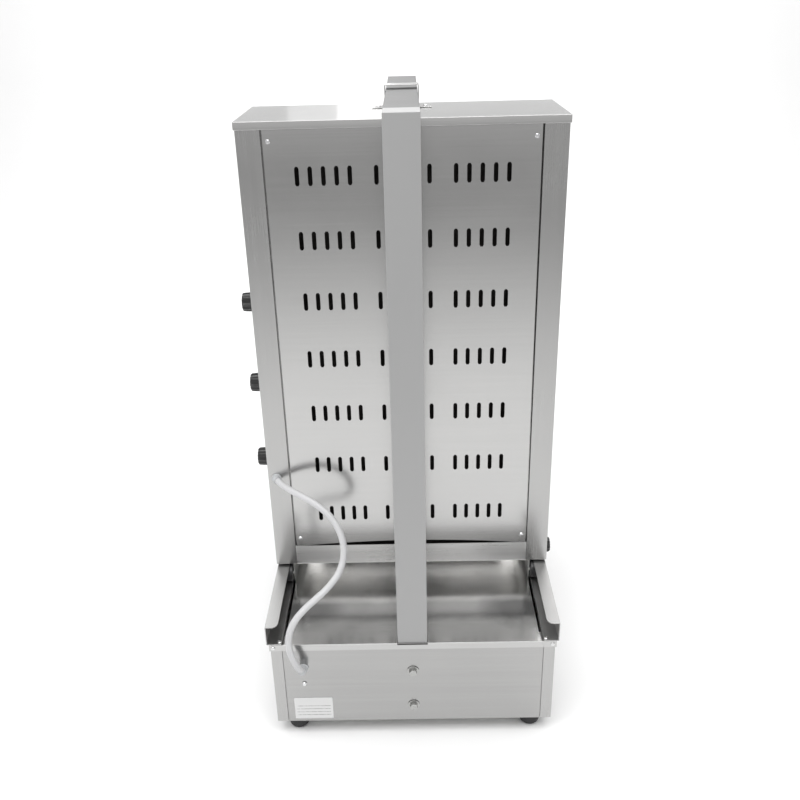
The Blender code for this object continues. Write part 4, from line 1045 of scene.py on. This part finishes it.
@dataclass
class ColumnBolts:
    """The two hex bolts that hold the column's foot, each on a wide washer."""

    rear_y: float = 0.3233
    heights: tuple[tuple[str, float], ...] = (("lower", 0.0640), ("upper", 0.1397))
    washer: float = 0.0104
    washer_edge: float = 0.0003
    washer_top: float = 0.0014
    spring: float = 0.0073
    spring_top: float = 0.0026
    bore: float = 0.0042
    head: float = 0.0069
    head_height: float = 0.0044
    head_middle: float = 0.0048
    head_turn: float = 17.0
    crown: float = 0.0006

    def build(self) -> None:
        """Make both bolts."""
        finish = PlainMetal(colour=(0.46, 0.46, 0.45), roughness=0.26, pit=0.10)
        material = finish.material("bolt_plating")
        for name, height in self.heights:
            bm = self._washers(height)
            Bench.merge(bm, self._head(height))
            Bench.merge(bm, self._stem(height))
            Bench.put(
                f"column_bolt_{name}_hex", bm, material, "base", Slot.FASTENER,
                [f"column_bolt_{name}"],
            )

    def _washers(self, height: float) -> bmesh.types.BMesh:
        """Give the flat washer with the spring washer on it."""
        edge, top = self.washer_edge, self.washer_top
        profile = [
            (self.bore, 0.0), (self.washer - edge, 0.0), (self.washer, edge),
            (self.washer, top - edge), (self.washer - edge, top), (self.spring, top),
            (self.spring, self.spring_top), (self.bore, self.spring_top), (self.bore, 0.0),
        ]
        return Bench.turned(profile, Vector((0, 1, 0)), Vector((0, self.rear_y, height)), 36)

    def _head(self, height: float) -> bmesh.types.BMesh:
        """Give the six-sided head with its corners turned down."""
        bm = bmesh.new()
        middle = self.rear_y + self.head_middle
        spin = Matrix.Rotation(math.radians(self.head_turn), 4, "Z")
        turn = Matrix.Rotation(-math.pi / 2, 4, "X") @ spin
        bmesh.ops.create_cone(
            bm, cap_ends=True, segments=6, radius1=self.head, radius2=self.head,
            depth=self.head_height, matrix=Matrix.Translation((0, middle, height)) @ turn,
        )
        rim = [edge for edge in bm.edges if all(v.co.y > middle for v in edge.verts)]
        bmesh.ops.bevel(
            bm, geom=rim, offset=self.crown, offset_type="OFFSET", segments=2, profile=0.5,
            affect="EDGES", material=-1,
        )
        return bm

    def _stem(self, height: float) -> bmesh.types.BMesh:
        """Give the bolt's stem and the nut inside the column."""
        profile = [
            (0.0, -0.0145), (0.0036, -0.0145), (0.0040, -0.0140), (0.0040, -0.0110),
            (0.0068, -0.0108), (0.0068, -0.0048), (0.0040, -0.0046), (0.0040, 0.0030), (0.0, 0.0030),
        ]
        return Bench.turned(profile, Vector((0, 1, 0)), Vector((0, self.rear_y, height)), 18)


@dataclass
class SmallScrews:
    """Domed screws and rivets with a shallow recess, which the frame leaves out."""

    radius: float = 0.0036
    rise: float = 0.0019
    strap_x: float = 0.0375
    strap_y: float = 0.0150
    strap_z: float = 1.0281
    lip_x: float = 0.2355
    lip_z: float = 0.1945
    lip_y: float = 0.3251
    rivet: tuple[float, float, float] = (0.2243, 0.3195, 0.2029)

    def build(self) -> None:
        """Put screws on the strap's feet and the lip, and a rivet on each rail's floor."""
        finish = PlainMetal(colour=(0.76, 0.76, 0.76), roughness=0.18, pit=0.05)
        material = finish.material("small_screw_plating")
        for name, side in (("left", -1), ("right", 1)):
            strap = Vector((side * self.strap_x, self.strap_y, self.strap_z))
            self._put(f"strap_screw_{name}", strap, Vector((0, 0, 1)), material, "tower")
            lip = Vector((side * self.lip_x, self.lip_y, self.lip_z))
            self._put(f"lip_screw_{name}", lip, Vector((0, 1, 0)), material, "base")
            x, y, z = self.rivet
            rivet = Vector((side * x, y, z))
            self._put(f"rail_rivet_{name}", rivet, Vector((0, 0, 1)), material, "base")

    def _put(
        self, name: str, place: Vector, axis: Vector, material: bpy.types.Material, body: str
    ) -> None:
        """Make one domed head with a round recess.

        Args:
            name: The piece's name.
            place: The middle of the head's seat.
            axis: The way that the head faces.
            material: Its finish.
            body: The body that it moves with.
        """
        radius, rise = self.radius, self.rise
        profile = [
            (0.0, 0.0), (radius, 0.0), (radius, rise * 0.35), (radius * 0.86, rise * 0.75),
            (radius * 0.55, rise), (radius * 0.50, rise), (radius * 0.2, rise * 0.7),
            (0.0, rise * 0.6),
        ]
        bm = Bench.turned(profile, axis, place, 24)
        Bench.put(name, bm, material, body, Slot.FASTENER)


@dataclass
class RatingPlate:
    """The silvered plate on the base's back, with ruled lines and no words."""

    low: tuple[float, float] = (0.1415, 0.0360)
    high: tuple[float, float] = (0.2085, 0.0830)
    face_y: float = 0.3231
    thickness: float = 0.0003
    corner: float = 0.0020

    def build(self) -> None:
        """Cut the plate with round corners and print it."""
        (x0, z0), (x1, z1) = self.low, self.high
        bm = bmesh.new()
        bmesh.ops.create_grid(bm, x_segments=1, y_segments=1, size=0.5)
        bmesh.ops.scale(bm, vec=(x1 - x0, z1 - z0, 1), verts=bm.verts)
        bmesh.ops.bevel(
            bm, geom=list(bm.verts), offset=self.corner, offset_type="OFFSET", segments=4,
            profile=0.5, affect="VERTICES", material=-1,
        )
        bmesh.ops.rotate(bm, matrix=Matrix.Rotation(-math.pi / 2, 3, "X"), verts=bm.verts)
        raised = bmesh.ops.extrude_face_region(bm, geom=list(bm.faces))
        top = [part for part in raised["geom"] if isinstance(part, bmesh.types.BMVert)]
        bmesh.ops.translate(bm, vec=(0, self.thickness, 0), verts=top)
        centre = ((x0 + x1) / 2, self.face_y, (z0 + z1) / 2)
        bmesh.ops.translate(bm, vec=centre, verts=bm.verts)
        bmesh.ops.recalc_face_normals(bm, faces=bm.faces)
        foil = PrintedFoil(self.low, self.high).material("printed_foil")
        Bench.put("rating_plate", bm, foil, "base", Slot.GREY)


@dataclass
class Knobs:
    """The three fluted zone knobs with their scales, and the clamp knob."""

    flutes: int = 12
    flute_depth: float = 0.0016
    zone_length: float = 0.031
    clamp_length: float = 0.020
    stem_radius: float = 0.0030
    crease: float = 28.0
    ticks: int = 7
    tick_turn: float = -45.0
    tick_width: float = 0.0009
    tick_reach: float = 0.0262

    def build(self) -> None:
        """Mould every knob and print every scale."""
        black = Moulded(
            colour=(0.008, 0.008, 0.008), roughness=0.30, grain=0.05, dust=0.02,
        ).material("knob_moulding")
        white = Moulded(colour=(0.72, 0.72, 0.70), roughness=0.4, dust=0.0).material("mark_white")
        ink = Moulded(colour=(0.03, 0.03, 0.03), roughness=0.5, dust=0.0).material("scale_ink")
        for zone in (1, 2, 3):
            low, high = (Vector(corner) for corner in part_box(f"zone_knob_{zone}"))
            radius = (high.z - low.z) / 2
            centre = (low + high) / 2
            start = Vector((high.x - self.zone_length, centre.y, centre.z))
            name = f"zone_knob_{zone}"
            ahead = Vector((1, 0, 0))
            bm = self._moulding(start, ahead, radius, self.zone_length, start.x - low.x)
            Bench.put(f"{name}_fluted", bm, black, name, Slot.BLACK, [name], self.crease)
            bm = self._pointer(start, high.x, radius)
            Bench.put(f"{name}_pointer", bm, white, name, Slot.GREY)
            bm = self._scale(start)
            Bench.put(f"zone_scale_{zone}", bm, ink, "tower", Slot.BLACK)
        low, high = (Vector(corner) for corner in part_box("clamp_knob"))
        radius = (high.z - low.z) / 2
        centre = (low + high) / 2
        start = Vector((low.x + self.clamp_length, centre.y, centre.z))
        ahead = Vector((-1, 0, 0))
        bm = self._moulding(start, ahead, radius, self.clamp_length, high.x - start.x)
        Bench.put(
            "clamp_knob_fluted", bm, black, "clamp_knob", Slot.BLACK, ["clamp_knob"], self.crease
        )

    def _moulding(
        self, start: Vector, axis: Vector, radius: float, length: float, stem: float
    ) -> bmesh.types.BMesh:
        """Turn a knob with its stem and press flutes into its grip.

        Args:
            start: The middle of the knob's back face.
            axis: The way that it faces.
            radius: Its skirt's radius.
            length: Its length in front of the start.
            stem: The stem's length behind the start.

        Returns:
            The knob's shape.
        """
        grip = radius * 0.86
        profile = [
            (0.0, -stem), (self.stem_radius, -stem), (self.stem_radius, 0.0), (radius * 0.94, 0.0),
            (radius, 0.0010), (radius, 0.0042), (radius * 0.96, 0.0056), (grip, 0.0068),
            (grip * 0.985, length * 0.45), (grip * 0.965, length * 0.75),
            (grip * 0.94, length - 0.0026), (grip * 0.88, length - 0.0007),
            (grip * 0.80, length), (grip * 0.62, length), (grip * 0.56, length - 0.0012),
            (0.0, length - 0.0012),
        ]
        bm = Bench.turned(profile, Vector((0, 0, 1)), Vector((0, 0, 0)), self.flutes * 8)
        for vert in bm.verts:
            reach = vert.co.xy.length
            if vert.co.z > 0.0062 and reach > grip * 0.78:
                angle = math.atan2(vert.co.y, vert.co.x)
                hollow = (0.5 - 0.5 * math.cos(angle * self.flutes)) ** 0.6
                vert.co.xy *= 1.0 - self.flute_depth * hollow / reach
        turn = Vector((0, 0, 1)).rotation_difference(axis).to_matrix().to_4x4()
        bmesh.ops.transform(bm, matrix=Matrix.Translation(start) @ turn, verts=bm.verts)
        return bm

    def _pointer(self, start: Vector, face_x: float, radius: float) -> bmesh.types.BMesh:
        """Give the raised pointer on a knob's face."""
        bm = bmesh.new()
        bmesh.ops.create_cube(bm, size=1.0)
        bmesh.ops.scale(bm, vec=(0.0016, 0.0022, radius * 0.42), verts=bm.verts)
        bmesh.ops.bevel(
            bm, geom=list(bm.edges), offset=0.0004, offset_type="OFFSET", segments=2,
            profile=0.5, affect="EDGES", material=-1,
        )
        centre = (face_x - 0.0009, start.y, start.z + radius * 0.46)
        bmesh.ops.translate(bm, vec=centre, verts=bm.verts)
        return bm

    def _scale(self, start: Vector) -> bmesh.types.BMesh:
        """Give the arc of ticks of growing length round a knob."""
        bm = bmesh.new()
        for number in range(self.ticks):
            tick = bmesh.new()
            bmesh.ops.create_grid(tick, x_segments=1, y_segments=1, size=0.5)
            length = 0.0020 + 0.0005 * number
            bmesh.ops.scale(tick, vec=(self.tick_width, length, 1), verts=tick.verts)
            bmesh.ops.translate(tick, vec=(0, self.tick_reach, 0), verts=tick.verts)
            turn = Matrix.Rotation(math.radians(self.tick_turn * number), 3, "Z")
            bmesh.ops.rotate(tick, cent=(0, 0, 0), matrix=turn, verts=tick.verts)
            Bench.merge(bm, tick)
        raised = bmesh.ops.extrude_face_region(bm, geom=list(bm.faces))
        top = [part for part in raised["geom"] if isinstance(part, bmesh.types.BMVert)]
        bmesh.ops.translate(bm, vec=(0, 0, 0.0001), verts=top)
        turn = Matrix(((0, 0, 1), (1, 0, 0), (0, 1, 0))).to_4x4()
        where = Matrix.Translation((start.x - 0.0005, start.y, start.z)) @ turn
        bmesh.ops.transform(bm, matrix=where, verts=bm.verts)
        bmesh.ops.recalc_face_normals(bm, faces=bm.faces)
        return bm


@dataclass
class Guard:
    """The welded wire guard in front of the elements."""

    columns: int = 10
    rows: int = 15
    frame_radius: float = 0.0015
    wire_radius: float = 0.0009
    weld: float = 0.6

    def build(self) -> None:
        """Weld the frame, the uprights behind and the cross wires in front."""
        low, high = (Vector(corner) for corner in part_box("front_guard"))
        edge = self.frame_radius
        y = (low.y + high.y) / 2
        x0, x1, z0, z1 = low.x + edge, high.x - edge, low.z + edge, high.z - edge
        bm = bmesh.new()
        corners = [Vector((x0, y, z0)), Vector((x1, y, z0)), Vector((x1, y, z1)), Vector((x0, y, z1))]
        for start, end in zip(corners, [*corners[1:], corners[0]]):
            Bench.rod(bm, start, end, self.frame_radius, 12)
            bmesh.ops.create_icosphere(
                bm, subdivisions=2, radius=self.frame_radius, matrix=Matrix.Translation(start)
            )
        back, front = y + self.wire_radius * self.weld, y - self.wire_radius * self.weld
        for number in range(1, self.columns):
            x = x0 + (x1 - x0) * number / self.columns
            Bench.rod(bm, Vector((x, back, z0)), Vector((x, back, z1)), self.wire_radius, 8)
        for number in range(1, self.rows):
            z = z0 + (z1 - z0) * number / self.rows
            Bench.rod(bm, Vector((x0, front, z)), Vector((x1, front, z)), self.wire_radius, 8)
        finish = PlainMetal(colour=(0.70, 0.70, 0.70), roughness=0.22)
        material = finish.material("guard_wire")
        Bench.put("front_guard_wires", bm, material, "tower", Slot.BRIGHT, ["front_guard"])


@dataclass
class HeatZones:
    """The three sheathed elements, swept smoothly, and the board that shields the tower's back."""

    tower_half: float = 0.2480
    plane_y: float = -0.0130
    low_z: float = 0.2640
    high_z: float = 1.0145
    passes: int = 4
    pitch: float = 0.046
    margin: float = 0.040
    radius: float = 0.004
    leg: float = 0.030
    bend: float = 0.012
    board_size: tuple[float, float, float] = (0.484, 0.012, 0.765)
    board_place: tuple[float, float, float] = (0.0, 0.118, 0.632)

    def build(self) -> None:
        """Sweep every element and fit the board."""
        material = HeatTinted().material("heat_tinted_sheath")
        zone_height = (self.high_z - self.low_z) / 3
        for zone in (1, 2, 3):
            level = self.low_z + zone_height * (zone - 0.5)
            mesh = tube_mesh(f"element_{zone}", self._route(level), self.radius, 16)
            bm = bmesh.new()
            bm.from_mesh(mesh)
            bpy.data.meshes.remove(mesh)
            node = f"heating_element_{zone}"
            Bench.put(f"{node}_sheath", bm, material, "tower", Slot.ELEMENT, [node], 60.0)
        self._board()

    def _route(self, level: float) -> list[Vector]:
        """Give one element's centreline: parallel passes joined by round bends."""
        half = self.pitch / 2
        reach = self.tower_half - self.margin - half
        low = level - self.pitch * (self.passes - 1) / 2
        top = low + (self.passes - 1) * self.pitch
        y, bend = self.plane_y, self.bend
        corner = [math.pi / 16 * step for step in range(9)]
        points = [Vector((reach + bend, y + bend + self.leg, low))]
        points += [
            Vector((reach + bend * math.cos(t), y + bend - bend * math.sin(t), low)) for t in corner
        ]
        side = -1
        for number in range(self.passes - 1):
            z = low + number * self.pitch
            for step in range(17):
                angle = math.pi * step / 16
                x = side * (reach + half * math.sin(angle))
                points.append(Vector((x, y, z + half * (1 - math.cos(angle)))))
            side = -side
        points += [
            Vector((reach + bend * math.cos(t), y + bend - bend * math.sin(t), top))
            for t in reversed(corner)
        ]
        return [*points, Vector((reach + bend, y + bend + self.leg, top))]

    def _board(self) -> None:
        """Fit the dark fibre board between the regulators and the rear panel."""
        bm = bmesh.new()
        bmesh.ops.create_cube(bm, size=1.0)
        bmesh.ops.scale(bm, vec=self.board_size, verts=bm.verts)
        bmesh.ops.subdivide_edges(bm, edges=list(bm.edges), cuts=6, use_grid_fill=True)
        bmesh.ops.bevel(
            bm, geom=[edge for edge in bm.edges if edge.calc_face_angle(0.0) > 1.0],
            offset=0.002, offset_type="OFFSET", segments=2, profile=0.5, affect="EDGES",
            material=-1,
        )
        bmesh.ops.translate(bm, vec=self.board_place, verts=bm.verts)
        material = MineralWool().material("fibre_board")
        Bench.put("insulation_board", bm, material, "tower", Slot.BLACK)


def main() -> None:
    """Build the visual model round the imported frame."""
    logging.basicConfig(level=logging.INFO, format="%(name)s: %(message)s")
    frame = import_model()
    nodes = frame["nodes"]
    Studio().build()
    Hose(nodes).build()
    Sheetwork(nodes).build()
    ColumnBolts().build()
    SmallScrews().build()
    RatingPlate().build()
    Knobs().build()
    Guard().build()
    HeatZones().build()
    CarriedNodes(nodes).build()


if __name__ == "__main__":
    main()
